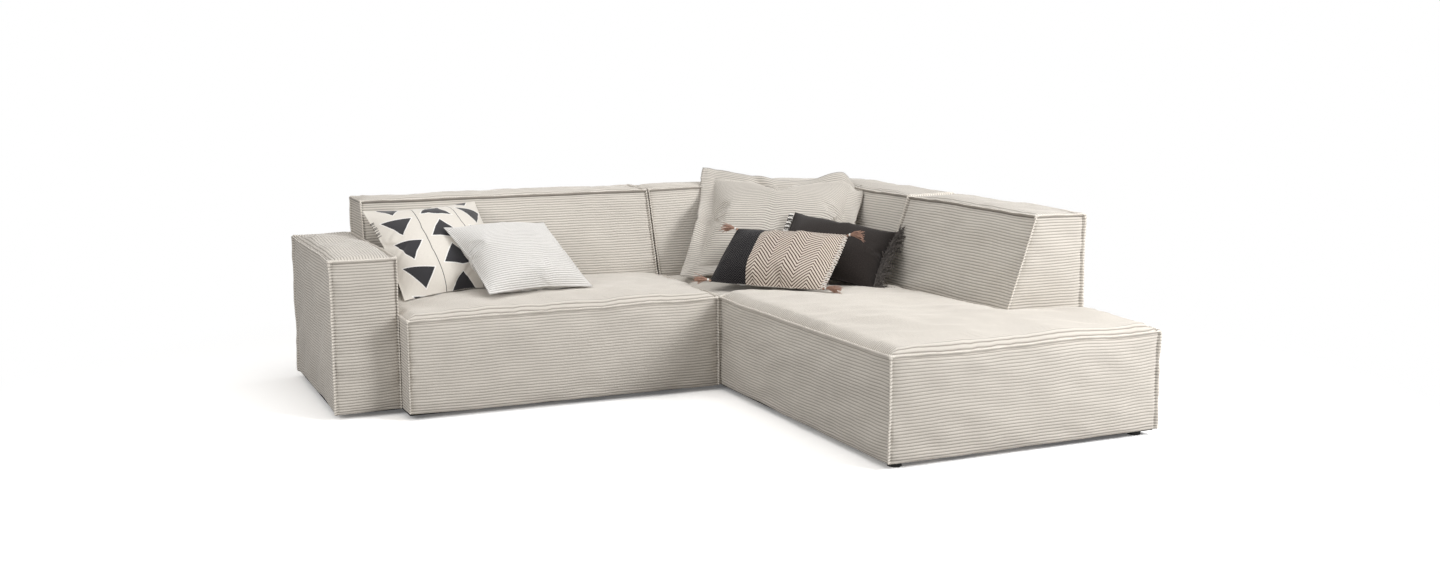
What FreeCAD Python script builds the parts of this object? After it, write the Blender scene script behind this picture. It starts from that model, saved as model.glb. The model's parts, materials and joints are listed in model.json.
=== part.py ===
import FreeCAD, Part
import os
from math import radians, sin, sqrt

# Corner sofa in two elements with five loose cushions, in millimetres.
# X runs along the rear, from the arm to the ottoman's side. Y runs from the ottoman's front to the rear.
# The origin is on the floor, at the middle of the whole sofa. Sizes are taken at the seams.

# Whole sofa
sofa_width = 2680
sofa_depth = 2380
floor_gap = 20
element_gap = 10

# Arm
arm_width = 250
arm_depth = 890
arm_height = 610
arm_crown = 22

# Seat blocks
left_seat_width = 1300
left_depth = 1020
seat_height = 385
left_seat_crown = 45
corner_seat_crown = 28
ottoman_crown = 48
rear_rim = 18
side_rim = 7
front_rim = 2
seam_step = 3

# Backs
back_height = 768
back_top_depth = 220
back_foot_depth = 350
back_crown = 17
back_face_bulge = 14
ottoman_back_setback = 450
seam_gap = 1

# Upholstery
side_bulge = 12
seam_bulge = 1
cover_thickness = 3
cover_clearance = 0.5
side_foam = 15
arm_foam_thickness = 26
arm_inner_foam = 8
arm_top_foam = 38
cloth_thickness = 1
fit_clearance = 0.3
foam_clearance = 0.5

# Timber frames
rail_thickness = 22
rail_height = 200
arm_board = 16
skid_width = 90
skid_height = 45
post_width = 60
post_depth = 40
end_post = 90
mitre_post = 260
back_rail_height = 60
back_frame_below_seam = 75
back_frame_above_seat = 35
spring_rail_behind_face = 25

# Springs and belts
spring_wire = 3.8
spring_spacing = 150
spring_half_width = 34
spring_half_wave = 50
spring_overlap = 12
belt_width = 50
belt_thickness = 2
belt_count = 3

# Feet
foot_diameter = 50
hidden_foot_inset = 170
ottoman_foot_inset = 52
foot_screw_diameter = 5
foot_screw_length = 35
foot_screw_head = 10
foot_screw_head_height = 3
foot_counterbore = 8

# Bolts
bolt_diameter = 8
bolt_head_width = 13
bolt_head_height = 5.3
bolt_hole_play = 0.4
nut_height = 6.5
nut_recess = 9
nut_recess_radius = 10.5
bolt_low = 62
bolt_high = 150
arm_bolt_from_front = 150
arm_bolt_from_rear = 230
corner_bolt_from_left = 200
corner_bolt_from_right = 230

# Connectors between the elements
plate_thickness = 2.5
plate_width = 72
plate_height = 80
plate_foot = 90
tongue_width = 34
tongue_height = 32
tongue_foot = 8
bridge_height = 24
connector_from_edge = 190
plate_screw_diameter = 5
plate_screw_length = 36
plate_screw_head = 9
plate_screw_head_height = 1.8
plate_screw_from_middle = 27
plate_screw_from_end = 10

# Loose cushions. A size is width, height and thickness. A place is measured to the cushion's middle:
# sideways from the arm or from the sofa's right side, then forwards from the rear plane. A turn is the way
# it faces, in degrees from -Y towards -X, then how far it leans back, then how far it is rolled in its own
# plane. Each cushion starts with its middle at drop_from above the seat seam and is lowered from there
# until it lies on what is under it.
cushion_cover = 2
cushion_edge = 6
cushion_draw = 16
cushion_clearance = 0.6
cushion_end_rise = 1
zip_share = 0.5
zip_depth = 10
zip_thickness = 2.4
slit_above_seam = 32
slit_width = 1.2
drop_from = 450
settle_gap = 0.35
settle_steps = 60

cord_size = (650, 600, 175)
cord_flange = 62
cord_flange_thickness = 5
cord_place = (650, 585)
cord_turn = (34, 54, 0)

triangle_size = (495, 540, 140)
triangle_place = (272, 484)
triangle_turn = (-5, 54, 3)

white_size = (470, 455, 125)
white_place = (550, 660)
white_turn = (-15, 60, -3)

charcoal_size = (460, 388, 115)
charcoal_place = (578, 985)
charcoal_turn = (28, 57, -17)
fringe_length = 26
fringe_thickness = 5
fringe_forward = 30

lumbar_size = (520, 335, 115)
lumbar_place = (850, 1010)
lumbar_turn = (51, 54, 0)
tassel_length = 70
tassel_head = 9
tassel_skirt = 22
tassel_forward = 0.3
tassel_up = 0.15

# Planes and sizes that follow
left_plane = -sofa_width / 2
right_plane = sofa_width / 2
rear_plane = sofa_depth / 2
front_plane = -sofa_depth / 2
arm_front = rear_plane - arm_depth
arm_inner = left_plane + arm_width
split_plane = arm_inner + left_seat_width
left_split = split_plane - element_gap / 2
right_split = split_plane + element_gap / 2
seat_front = rear_plane - left_depth
frame_bottom = floor_gap + cloth_thickness
frame_top = frame_bottom + rail_height
spring_top = frame_top + spring_wire
foam_inset = cover_thickness + cover_clearance
frame_inset = foam_inset + side_foam
post_inset = frame_inset + rail_thickness
back_frame_foot = seat_height + back_frame_above_seat
back_frame_top = back_height - back_frame_below_seam
arm_frame_top = arm_height - foam_inset - arm_top_foam
face_lean = (back_foot_depth - back_top_depth) / (back_height - seat_height)
face_slope = sqrt(1 + face_lean ** 2)
spring_rail_depth = back_foot_depth - spring_rail_behind_face

UP = FreeCAD.Vector(0, 0, 1)
ALONG_X = FreeCAD.Vector(1, 0, 0)
ALONG_Y = FreeCAD.Vector(0, 1, 0)
parts = {}


def point(x, y, z=0.0):
    return FreeCAD.Vector(x, y, z)


def keep(name, solids):
    """Stores one named sub-part: one solid, or a group of separate solids."""
    parts[name] = solids[0] if len(solids) == 1 else Part.makeCompound(solids)


def line(start, end):
    return Part.LineSegment(start, end).toShape()


def arc(start, end, outward, rise):
    return Part.Arc(start, (start + end) * 0.5 + outward * rise, end).toShape()


def crowned(start, end, outward, rise, fullness=2.4):
    """Three arcs from start to end that rise most at the middle, fuller than one circle."""
    points = []
    for mark in (-1, -0.75, -0.5, 0, 0.5, 0.75, 1):
        height = rise * (1 - abs(mark) ** fullness)
        points.append(start + (end - start) * ((1 + mark) / 2) + outward * height)
    return [Part.Arc(points[i], points[i + 1], points[i + 2]).toShape() for i in (0, 2, 4)]


def box(x0, x1, y0, y1, z0, z1):
    return Part.makeBox(x1 - x0, y1 - y0, z1 - z0, point(x0, y0, z0))


def cylinder(radius, length, foot_point, direction=UP):
    return Part.makeCylinder(radius, length, foot_point, direction)


def loft(sections):
    return Part.makeLoft([Part.Wire(edges) for edges in sections], True, False)


def carved(solid, cutters):
    """The solid without the cutters that reach it, as one solid."""
    for cutter in cutters:
        if solid.BoundBox.intersect(cutter.BoundBox):
            solid = solid.cut(cutter)
    return max(solid.Solids, key=lambda piece: piece.Volume)


def moved(shape, placement):
    copy = shape.copy()
    copy.Placement = placement.multiply(copy.Placement)
    return copy


def shrunk(area, inset):
    x0, x1, y0, y1 = area
    return x0 + inset, x1 - inset, y0 + inset, y1 - inset


# Upholstered blocks


def padded_block(area, bottom, top, swelling):
    """A block with upright corners. Each side named in swelling bulges between them, the rest are flat."""
    x0, x1, y0, y1 = area
    sides = {
        "front": (point(x0, y0), point(x1, y0), point(0, -1)),
        "right": (point(x1, y0), point(x1, y1), point(1, 0)),
        "rear": (point(x1, y1), point(x0, y1), point(0, 1)),
        "left": (point(x0, y1), point(x0, y0), point(-1, 0)),
    }
    sections = []
    for share, bulge in ((0, seam_bulge), (0.5, side_bulge), (1, seam_bulge)):
        level = UP * (bottom + (top - bottom) * share)
        edges = []
        for side, (start, end, outward) in sides.items():
            if side in swelling:
                edges.append(arc(start + level, end + level, outward, bulge))
            else:
                edges.append(line(start + level, end + level))
        sections.append(edges)
    return loft(sections)


def crown_cap(area, base, block):
    """The crowned top of a block, lofted along X on the plane at base, with a low rim at each edge."""
    x0, x1, y0, y1 = area
    sections = []
    for mark in (-1, -0.8, -0.45, 0, 0.45, 0.8, 1):
        x = x0 + (x1 - x0) * (1 + mark) / 2
        rise = side_rim + (block["crown"] - side_rim) * (1 - abs(mark) ** 3)
        foot_front = point(x, y0, base)
        foot_rear = point(x, y1, base)
        top_front = foot_front + UP * front_rim
        top_rear = foot_rear + UP * block["rim"]
        rim = [line(top_front, foot_front), line(foot_front, foot_rear), line(foot_rear, top_rear)]
        sections.append(rim + crowned(top_rear, top_front, UP, rise))
    return loft(sections)


def block_form(block, inset, bottom):
    """The form of an upholstered block, drawn in by inset on every side but the bottom."""
    top = block["height"] - inset
    body = padded_block(shrunk(block["area"], inset), bottom, top, block["swelling"])
    cap = crown_cap(shrunk(block["crowned"], inset), top, block)
    if "under_back" in block:
        cap = cap.cut(box(*shrunk(block["under_back"], -inset - seam_gap), 0, back_height))
    return body.fuse(cap).removeSplitter()


def block_cover(block):
    """A sewn cover: top and four sides, open underneath."""
    return block_form(block, 0, floor_gap).cut(block_form(block, cover_thickness, floor_gap))


def block_foam(block, pocket):
    """The foam of a block, over a pocket for its frame."""
    return block_form(block, foam_inset, frame_bottom).cut(pocket)


def seat_pocket(block):
    return box(*shrunk(block["area"], frame_inset - foam_clearance), 0, spring_top + foam_clearance)


# Bolts and screws


def hexagon(width, height):
    radius = width / sqrt(3)
    corners = [FreeCAD.Rotation(UP, 60 * turn).multVec(point(radius, 0)) for turn in range(7)]
    return Part.Face(Part.makePolygon(corners)).extrude(UP * height)


def aimed(shape, place, direction):
    """Turns a shape that is built along +Z to point along direction from place."""
    return moved(shape, FreeCAD.Placement(place, FreeCAD.Rotation(UP, direction)))


def bolt_set(place, direction, grip):
    """A bolt whose head bears at place, a nut at the grip's end, their hole and a recess for the nut."""
    radius = bolt_diameter / 2
    shank = cylinder(radius, grip + nut_height, point(0, 0))
    head = hexagon(bolt_head_width, bolt_head_height)
    head.translate(UP * -bolt_head_height)
    nut = hexagon(bolt_head_width, nut_height)
    nut.translate(UP * grip)
    nut = nut.cut(cylinder(radius, grip + nut_height, point(0, 0)))
    hole = cylinder(radius + bolt_hole_play, grip + nut_recess, point(0, 0))
    recess = cylinder(nut_recess_radius, nut_recess, point(0, 0, grip))
    return {
        "solids": [aimed(shank.fuse(head), place, direction), aimed(nut, place, direction)],
        "hole": aimed(hole, place, direction),
        "recess": aimed(recess, place, direction),
    }


# Seat frames, springs and feet


def rim_rails(area):
    """Four rails on edge round a seat block."""
    x0, x1, y0, y1 = shrunk(area, frame_inset)
    t = rail_thickness
    return [
        box(x0, x1, y0, y0 + t, frame_bottom, frame_top),
        box(x0, x1, y1 - t, y1, frame_bottom, frame_top),
        box(x0, x0 + t, y0 + t, y1 - t, frame_bottom, frame_top),
        box(x1 - t, x1, y0 + t, y1 - t, frame_bottom, frame_top),
    ]


def skid_along_y(area, x):
    """A board on the flat between the front and the rear rail, that feet screw to."""
    x0, x1, y0, y1 = shrunk(area, post_inset)
    half = skid_width / 2
    return box(x - half, x + half, y0, y1, frame_bottom, frame_bottom + skid_height)


def skid_along_x(area, y):
    x0, x1, y0, y1 = shrunk(area, post_inset)
    half = skid_width / 2
    return box(x0, x1, y - half, y + half, frame_bottom, frame_bottom + skid_height)


def spring(start, along, across, span):
    """One sinuous spring that lies flat: bars across, joined by half turns."""
    turns = max(2, round(span / spring_half_wave))
    radius = span / turns / 2
    reach = spring_half_width - radius
    at = start
    side = 1
    edges = []
    for turn in range(turns):
        out = start + along * (turn * 2 * radius) + across * (side * reach)
        tip = out + along * radius + across * (side * radius)
        far = out + along * (2 * radius)
        edges.append(line(at, out))
        edges.append(Part.Arc(out, tip, far).toShape())
        at = far
        side = -side
    edges.append(line(at, start + along * span))
    profile = Part.Wire(Part.makeCircle(spring_wire / 2, start, across))
    return Part.Wire(edges).makePipeShell([profile], True, False)


def spring_row(corner, along, across, span, width):
    """Springs side by side over a width, lying on two rails."""
    count = max(2, int(width / spring_spacing))
    gap = width / count
    level = UP * (spring_wire / 2)
    return [spring(corner + across * (gap * (i + 0.5)) + level, along, across, span) for i in range(count)]


def foot_set(x, y):
    """A round glide with a counterbore, its screw, and the hole that the screw needs."""
    radius = foot_screw_diameter / 2
    glide = cylinder(foot_diameter / 2, floor_gap, point(x, y))
    glide = glide.cut(cylinder(foot_screw_head / 2 + fit_clearance, foot_counterbore, point(x, y)))
    glide = glide.cut(cylinder(radius + fit_clearance, floor_gap, point(x, y)))
    head_foot = foot_counterbore - foot_screw_head_height
    head = cylinder(foot_screw_head / 2, foot_screw_head_height, point(x, y, head_foot))
    shank = cylinder(radius, foot_screw_length, point(x, y, foot_counterbore))
    hole = cylinder(radius + fit_clearance, foot_screw_length + fit_clearance, point(x, y, foot_counterbore))
    return {"glide": glide, "screw": head.fuse(shank), "hole": hole}


def underside_cloth(area, holes):
    return carved(box(*shrunk(area, foam_inset), floor_gap, frame_bottom), holes)


# Backs, drawn with their rear plane at Y 0 and facing +Y


def back_form(length, inset):
    """The wedge of a back: upright rear, crowned top and leaning face, all a little swollen."""
    top = back_height - inset
    face_top = back_foot_depth - (top - seat_height) * face_lean - inset * face_slope
    face_foot = back_foot_depth - inset * face_slope
    facing = point(0, 1 / face_slope, face_lean / face_slope)
    sections = []
    for mark in (-1, -0.85, 0, 0.85, 1):
        share = 1 - mark ** 4
        x = length / 2 + (length / 2 - inset) * mark
        rear_foot = point(x, inset, seat_height)
        rear_top = point(x, inset, top)
        front_top = point(x, face_top, top)
        front_foot = point(x, face_foot, seat_height)
        rear = arc(rear_foot, rear_top, point(0, -1), seam_bulge + (side_bulge - seam_bulge) * share)
        crown = crowned(rear_top, front_top, UP, side_rim + (back_crown - side_rim) * share)
        face = arc(front_top, front_foot, facing, seam_bulge + (back_face_bulge - seam_bulge) * share)
        sections.append([rear] + crown + [face, line(front_foot, rear_foot)])
    return loft(sections)


def post(middle, play=0.0):
    half = post_width / 2 + play
    return box(middle - half, middle + half, post_inset - play, post_inset + post_depth + play,
               frame_bottom, back_frame_top + play)


def back_frame(posts):
    """Posts that run down into the seat frame, and two rails between each pair of them."""
    solids = [post(middle) for middle in posts]
    for first, second in zip(posts, posts[1:]):
        for level in (back_frame_foot, back_frame_top - back_rail_height):
            solids.append(box(first + post_width / 2, second - post_width / 2, post_inset,
                              post_inset + post_depth, level, level + back_rail_height))
    return solids


def back_belts(posts):
    """Elastic belts stretched over the front of the posts."""
    start = posts[0] - post_width / 2
    end = posts[-1] + post_width / 2
    face = post_inset + post_depth
    gap = (back_frame_top - back_frame_foot - belt_width) / (belt_count - 1)
    levels = [back_frame_foot + gap * i for i in range(belt_count)]
    return [box(start, end, face, face + belt_thickness, level, level + belt_width) for level in levels]


def back_pocket(posts):
    start = posts[0] - post_width / 2 - foam_clearance
    end = posts[-1] + post_width / 2 + foam_clearance
    depth = post_inset + post_depth + belt_thickness + foam_clearance
    return box(start, end, post_inset - foam_clearance, depth, 0, back_frame_top + foam_clearance)


def make_back(placement, length, posts, mitre=None):
    """All the pieces of one back at its place, and the cuts that it needs in the seat block under it."""
    soft = {
        "cover": back_form(length, 0).cut(back_form(length, cover_thickness)),
        "foam": back_form(length, foam_inset).cut(back_pocket(posts)),
    }
    back = {}
    for name, shape in soft.items():
        shape = moved(shape, placement)
        back[name] = [shape.common(mitre) if mitre else shape]
    grip = post_depth + rail_thickness - nut_recess
    fixings = [bolt_set(point(middle, post_inset + post_depth, frame_bottom + level), point(0, -1), grip)
               for middle in posts for level in (bolt_low, bolt_high)]
    back["bolts"] = [moved(solid, placement) for fixing in fixings for solid in fixing["solids"]]
    back["bolt_holes"] = [moved(fixing["hole"], placement) for fixing in fixings]
    back["recesses"] = [moved(fixing["recess"], placement) for fixing in fixings]
    back["post_holes"] = [moved(post(middle, fit_clearance), placement) for middle in posts]
    back["belts"] = [moved(solid, placement) for solid in back_belts(posts)]
    back["frame"] = [carved(moved(solid, placement), back["bolt_holes"]) for solid in back_frame(posts)]
    return back


def along_rear(x_end):
    """Stands a back along the rear plane; its length runs towards -X from x_end."""
    return FreeCAD.Placement(point(x_end, rear_plane), FreeCAD.Rotation(UP, 180))


def along_side(y_start):
    """Stands a back along the right plane; its length runs towards +Y from y_start."""
    return FreeCAD.Placement(point(right_plane, y_start), FreeCAD.Rotation(UP, 90))


def mitre_side(sideways):
    """Everything on one side of the upright plane that halves the sofa's rear right corner."""
    corner = point(right_plane, rear_plane) + sideways * (seam_gap / 2)
    out = point(1, 1) * sofa_depth
    away = sideways * sofa_depth
    corners = [corner + out, corner - out, corner - out + away, corner + out + away, corner + out]
    return Part.Face(Part.makePolygon(corners)).extrude(UP * (back_height + back_height))


# Connectors


def connector(y):
    """A hook plate on the left element, a pocket plate on the right one, their screws and screw holes."""
    t = plate_thickness
    play = fit_clearance
    half = plate_width / 2
    top = plate_foot + plate_height
    tongue_x = element_gap - 2 * t + 2 * play
    tongue_half = tongue_width / 2
    tongue_top = plate_foot + tongue_foot + tongue_height
    hook = box(0, t, -half, half, plate_foot, top)
    hook = hook.fuse(box(0, tongue_x + t, -tongue_half, tongue_half, plate_foot, plate_foot + tongue_foot))
    hook = hook.fuse(box(tongue_x, tongue_x + t, -tongue_half, tongue_half, plate_foot, tongue_top))
    web = tongue_half + 2 * play
    bridge_foot = plate_foot + tongue_foot + play
    bridge_top = bridge_foot + bridge_height
    face = element_gap - t
    pocket = box(face, element_gap, -half, half, tongue_top + 2 * play, top)
    pocket = pocket.fuse(box(t + play, 2 * t + play, -web - t, web + t, bridge_foot, bridge_top))
    for inner, outer, edge in ((web, web + t, half), (-web - t, -web, -half)):
        pocket = pocket.fuse(box(t + play, element_gap, inner, outer, bridge_foot, bridge_top))
        ear = sorted((edge, web if edge > 0 else -web))
        pocket = pocket.fuse(box(face, element_gap, *ear, plate_foot, top))
    screws = {-1: [], 1: []}
    holes = []
    hole_radius = plate_screw_diameter / 2 + play
    for across in (-plate_screw_from_middle, plate_screw_from_middle):
        for level in (plate_foot + plate_screw_from_end, top - plate_screw_from_end):
            for away, x in ((-1, t), (1, face)):
                place = point(x, across, level)
                direction = ALONG_X * away
                shank = cylinder(plate_screw_diameter / 2, plate_screw_length, place, direction)
                head = cylinder(plate_screw_head / 2, plate_screw_head_height, place, direction * -1)
                screws[away].append(shank.fuse(head))
                holes.append(cylinder(hole_radius, plate_screw_length + play, place, direction))
    place = FreeCAD.Placement(point(left_split, y), FreeCAD.Rotation())
    return {
        "hook": moved(carved(hook, holes), place),
        "pocket": moved(carved(pocket.removeSplitter(), holes), place),
        "left_screws": [moved(screw, place) for screw in screws[-1]],
        "right_screws": [moved(screw, place) for screw in screws[1]],
        "holes": [moved(hole, place) for hole in holes],
    }


# Loose cushions, drawn standing in the XZ plane and facing -Y


def pillow(size, inset):
    """A pillow form: crowned front and back, a narrow seam edge, long sides drawn in between the corners."""
    width, height, thickness = size
    half = width / 2 - inset
    edge = cushion_edge / 2 - inset
    full_rise = (thickness - cushion_edge) / 2
    sections = []
    for mark in (-1, -0.88, -0.6, 0, 0.6, 0.88, 1):
        x = half * mark
        reach = height / 2 - inset - cushion_draw * (1 - mark ** 2)
        rise = cushion_end_rise + (full_rise - cushion_end_rise) * (1 - abs(mark) ** 2.6)
        front = crowned(point(x, -edge, -reach), point(x, -edge, reach), point(0, -1), rise, 2.2)
        back = crowned(point(x, edge, reach), point(x, edge, -reach), point(0, 1), rise, 2.2)
        top = line(point(x, -edge, reach), point(x, edge, reach))
        bottom = line(point(x, edge, -reach), point(x, -edge, -reach))
        sections.append(front + [top] + back + [bottom])
    return loft(sections)


def zip_span(size, play):
    """The sides, front and back of a zip in the lower seam, or with play those of its slot."""
    half = size[0] * zip_share / 2 + play
    depth = zip_thickness / 2 + play
    return -half, half, -depth, depth


def turned(place, turn):
    """Where a cushion stands: its middle's place, the way it faces, its lean and its roll."""
    facing, lean, roll = turn
    rotation = FreeCAD.Rotation(UP, -facing)
    rotation = rotation.multiply(FreeCAD.Rotation(ALONG_X, -lean))
    rotation = rotation.multiply(FreeCAD.Rotation(ALONG_Y, -roll))
    return FreeCAD.Placement(place, rotation)


def from_arm(place):
    right, forward = place
    return point(arm_inner + right, rear_plane - forward, seat_height + drop_from)


def from_right(place):
    left, forward = place
    return point(right_plane - left, rear_plane - forward, seat_height + drop_from)


def drop_onto(solids, supports):
    """How far the solids can be lowered before they all but touch what they lie on."""
    falling = Part.makeCompound([solid.copy() for solid in solids])
    carrier = Part.makeCompound(supports)
    drop = 0
    for step in range(settle_steps):
        gap = falling.distToShape(carrier)[0] - settle_gap
        if gap < settle_gap / 10:
            break
        falling.translate(UP * -gap)
        drop += gap
    return UP * -drop


def lay_cushion(name, size, placement, supports, trims=None, flange=0.0):
    """Makes a loose cushion, lowers it onto its supports, stores its pieces and returns its outer form."""
    width, height, thickness = size
    seam = cushion_draw - height / 2
    outer = pillow(size, 0)
    inner = pillow(size, cushion_cover)
    filling = pillow(size, cushion_cover + cushion_clearance)
    if flange:
        half = cord_flange_thickness / 2
        x = width / 2 + flange
        z = height / 2 + flange
        outer = outer.fuse(box(-x, x, -half, half, -z, z))
        slit_end = width * zip_share / 2
        slit_foot = seam + slit_above_seam
        slit = box(-slit_end, slit_end, 0, thickness, slit_foot, slit_foot + slit_width)
        pieces = {"cover": [outer.cut(inner).cut(slit)], "filling": [filling]}
    else:
        slot = box(*zip_span(size, fit_clearance), -height, seam + zip_depth + fit_clearance)
        pieces = {
            "cover": [outer.cut(inner).cut(slot)],
            "filling": [filling.cut(slot)],
            "zip": [box(*zip_span(size, 0), seam + fit_clearance, seam + zip_depth)],
        }
    pieces.update(trims or {})
    pieces = {piece: [moved(solid, placement) for solid in solids] for piece, solids in pieces.items()}
    outer = moved(outer, placement)
    falling = [outer] + [solid for trim in trims or {} for solid in pieces[trim]]
    drop = drop_onto(falling, supports)
    outer.translate(drop)
    for piece, solids in pieces.items():
        for solid in solids:
            solid.translate(drop)
        keep(f"{name}_{piece}", solids)
    middle = placement.Base + drop
    print(f"{name}: lowered by {-drop.z:.1f}, middle at {middle.x:.1f} {middle.y:.1f} {middle.z:.1f}")
    return outer


def fringe(size):
    """A strip of yarn along each short end; the right one leans forwards by fringe_forward degrees."""
    half = fringe_thickness / 2
    reach = size[1] / 2 - cushion_edge
    start = size[0] / 2 + fit_clearance
    left = box(-start - fringe_length, -start, -half, half, -reach, reach)
    right = box(0, fringe_length, -half, half, -reach, reach)
    right.rotate(point(0, 0), UP, -fringe_forward)
    right.translate(ALONG_X * (start + half * sin(radians(fringe_forward))))
    return [left, right]


def tassels(size):
    """A tassel at each corner, pointing outwards and a little forwards."""
    solids = []
    for side in (-1, 1):
        for end in (-1, 1):
            x = side * (size[0] / 2 + fit_clearance)
            start = point(x, 0, end * (size[1] / 2 - tassel_head))
            direction = point(side, -tassel_forward, tassel_up)
            solids.append(Part.makeCone(tassel_head / 2, tassel_skirt / 2, tassel_length, start, direction))
    return [carved(solid, [pillow(size, 0)]) for solid in solids]


# Left element

left_area = (arm_inner, left_split, seat_front, rear_plane)
left_seat = {
    "area": left_area,
    "crowned": (arm_inner + seam_step, left_split - seam_step, seat_front + seam_step,
                rear_plane - back_foot_depth - seam_gap),
    "height": seat_height,
    "crown": left_seat_crown,
    "rim": rear_rim,
    "swelling": ("front", "rear"),
}
arm_area = (left_plane, arm_inner, arm_front, rear_plane)
arm = {
    "area": arm_area,
    "crowned": shrunk(arm_area, seam_step),
    "height": arm_height,
    "crown": arm_crown,
    "rim": front_rim,
    "swelling": ("front", "rear", "left"),
}

left_length = left_split - arm_inner
left_back = make_back(along_rear(left_split), left_length,
                      (end_post, left_length / 2, left_length - end_post))

board = arm_board
arm_x0 = left_plane + foam_inset + arm_foam_thickness
arm_x1 = arm_inner - foam_inset - arm_inner_foam
arm_y0 = arm_front + foam_inset + arm_foam_thickness
arm_y1 = rear_plane - frame_inset
arm_box_top = arm_frame_top - board
arm_foot_x = (arm_x0 + arm_x1) / 2
arm_feet = [(arm_foot_x, arm_front + hidden_foot_inset), (arm_foot_x, rear_plane - hidden_foot_inset)]
arm_frame = [
    box(arm_x0, arm_x0 + board, arm_y0, arm_y1, frame_bottom, arm_box_top),
    box(arm_x1 - board, arm_x1, arm_y0, arm_y1, frame_bottom, arm_box_top),
    box(arm_x0 + board, arm_x1 - board, arm_y0, arm_y0 + board, frame_bottom, arm_box_top),
    box(arm_x0 + board, arm_x1 - board, arm_y1 - board, arm_y1, frame_bottom, arm_box_top),
    box(arm_x0, arm_x1, arm_y0, arm_y1, arm_box_top, arm_frame_top),
]
for x, y in arm_feet:
    arm_frame.append(box(arm_x0 + board, arm_x1 - board, y - skid_width / 2, y + skid_width / 2,
                         frame_bottom, frame_bottom + skid_height))
arm_pocket = box(arm_x0 - foam_clearance, arm_x1 + foam_clearance, arm_y0 - foam_clearance,
                 arm_y1 + foam_clearance, 0, arm_frame_top + foam_clearance)

left_feet_x = (arm_inner + hidden_foot_inset, left_split - hidden_foot_inset)
left_feet_y = (seat_front + hidden_foot_inset, rear_plane - hidden_foot_inset)
left_feet = [foot_set(x, y) for x, y in arm_feet + [(x, y) for x in left_feet_x for y in left_feet_y]]
left_foot_holes = [foot["hole"] for foot in left_feet]

spring_rail_y = rear_plane - spring_rail_depth
x0, x1, y0, y1 = shrunk(left_area, post_inset)
left_frame = rim_rails(left_area) + [skid_along_y(left_area, x) for x in left_feet_x]
left_frame.append(box(x0, x1, spring_rail_y, spring_rail_y + rail_thickness,
                      frame_bottom + skid_height, frame_top))
left_springs = spring_row(point(x0, y0 - spring_overlap, frame_top), ALONG_Y, ALONG_X,
                          spring_rail_y - y0 + 2 * spring_overlap, x1 - x0)

arm_grip = foam_inset + arm_inner_foam + board + frame_inset + rail_thickness
arm_fixings = [bolt_set(point(arm_x1 - board, y, frame_bottom + level), ALONG_X, arm_grip)
               for y in (arm_front + arm_bolt_from_front, rear_plane - arm_bolt_from_rear)
               for level in (bolt_low, bolt_high)]
arm_bolt_holes = [fixing["hole"] for fixing in arm_fixings]

connectors = [connector(seat_front + connector_from_edge), connector(rear_plane - connector_from_edge)]
plate_holes = [hole for pair in connectors for hole in pair["holes"]]

left_timber_cuts = left_back["bolt_holes"] + left_back["recesses"] + arm_bolt_holes
left_timber_cuts += left_foot_holes + plate_holes
left_soft_cuts = left_back["post_holes"] + arm_bolt_holes + plate_holes

keep("arm_frame", [carved(solid, arm_bolt_holes + left_foot_holes) for solid in arm_frame])
keep("arm_foam", [carved(block_foam(arm, arm_pocket), arm_bolt_holes)])
keep("arm_cover", [carved(block_cover(arm), arm_bolt_holes)])
keep("left_seat_frame", [carved(solid, left_timber_cuts) for solid in left_frame])
keep("left_seat_springs", left_springs)
keep("left_seat_foam", [carved(block_foam(left_seat, seat_pocket(left_seat)), left_soft_cuts)])
keep("left_seat_cover", [carved(block_cover(left_seat), left_soft_cuts)])
keep("left_back_frame", left_back["frame"])
keep("left_back_belts", left_back["belts"])
keep("left_back_foam", left_back["foam"])
keep("left_back_cover", left_back["cover"])
keep("left_underside_cloth", [underside_cloth(arm_area, left_foot_holes),
                              underside_cloth(left_area, left_foot_holes)])
keep("left_feet", [foot["glide"] for foot in left_feet])
keep("left_foot_screws", [foot["screw"] for foot in left_feet])
keep("left_frame_bolts", left_back["bolts"] + [solid for fixing in arm_fixings for solid in fixing["solids"]])
keep("hook_plates", [pair["hook"] for pair in connectors])
keep("hook_plate_screws", [screw for pair in connectors for screw in pair["left_screws"]])

# Right element: the corner seat, the ottoman and their backs

corner_area = (right_split, right_plane, seat_front, rear_plane)
corner_seat = {
    "area": corner_area,
    "crowned": (right_split + seam_step, right_plane - back_foot_depth - seam_gap,
                seat_front + seam_step, rear_plane - back_foot_depth - seam_gap),
    "height": seat_height,
    "crown": corner_seat_crown,
    "rim": rear_rim,
    "swelling": ("right", "rear"),
}
ottoman_area = (right_split, right_plane, front_plane, seat_front)
ottoman_back_start = front_plane + ottoman_back_setback
ottoman = {
    "area": ottoman_area,
    "crowned": shrunk(ottoman_area, seam_step),
    "under_back": (right_plane - back_foot_depth, right_plane + back_foot_depth,
                   ottoman_back_start, seat_front + back_foot_depth),
    "height": seat_height,
    "crown": ottoman_crown,
    "rim": front_rim,
    "swelling": ("front", "left", "right"),
}

rear_length = right_plane - right_split
side_length = left_depth - seam_gap / 2
ottoman_back_length = seat_front - seam_gap / 2 - ottoman_back_start
far_post = rear_length - end_post
corner_rear_back = make_back(along_rear(right_plane), rear_length,
                             (mitre_post, (mitre_post + far_post) / 2, far_post), mitre_side(point(-1, 1)))
near_post = side_length - mitre_post
corner_side_back = make_back(along_side(rear_plane - side_length), side_length,
                             (end_post, (end_post + near_post) / 2, near_post), mitre_side(point(1, -1)))
ottoman_back = make_back(along_side(ottoman_back_start), ottoman_back_length,
                         (end_post, ottoman_back_length - end_post))

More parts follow.
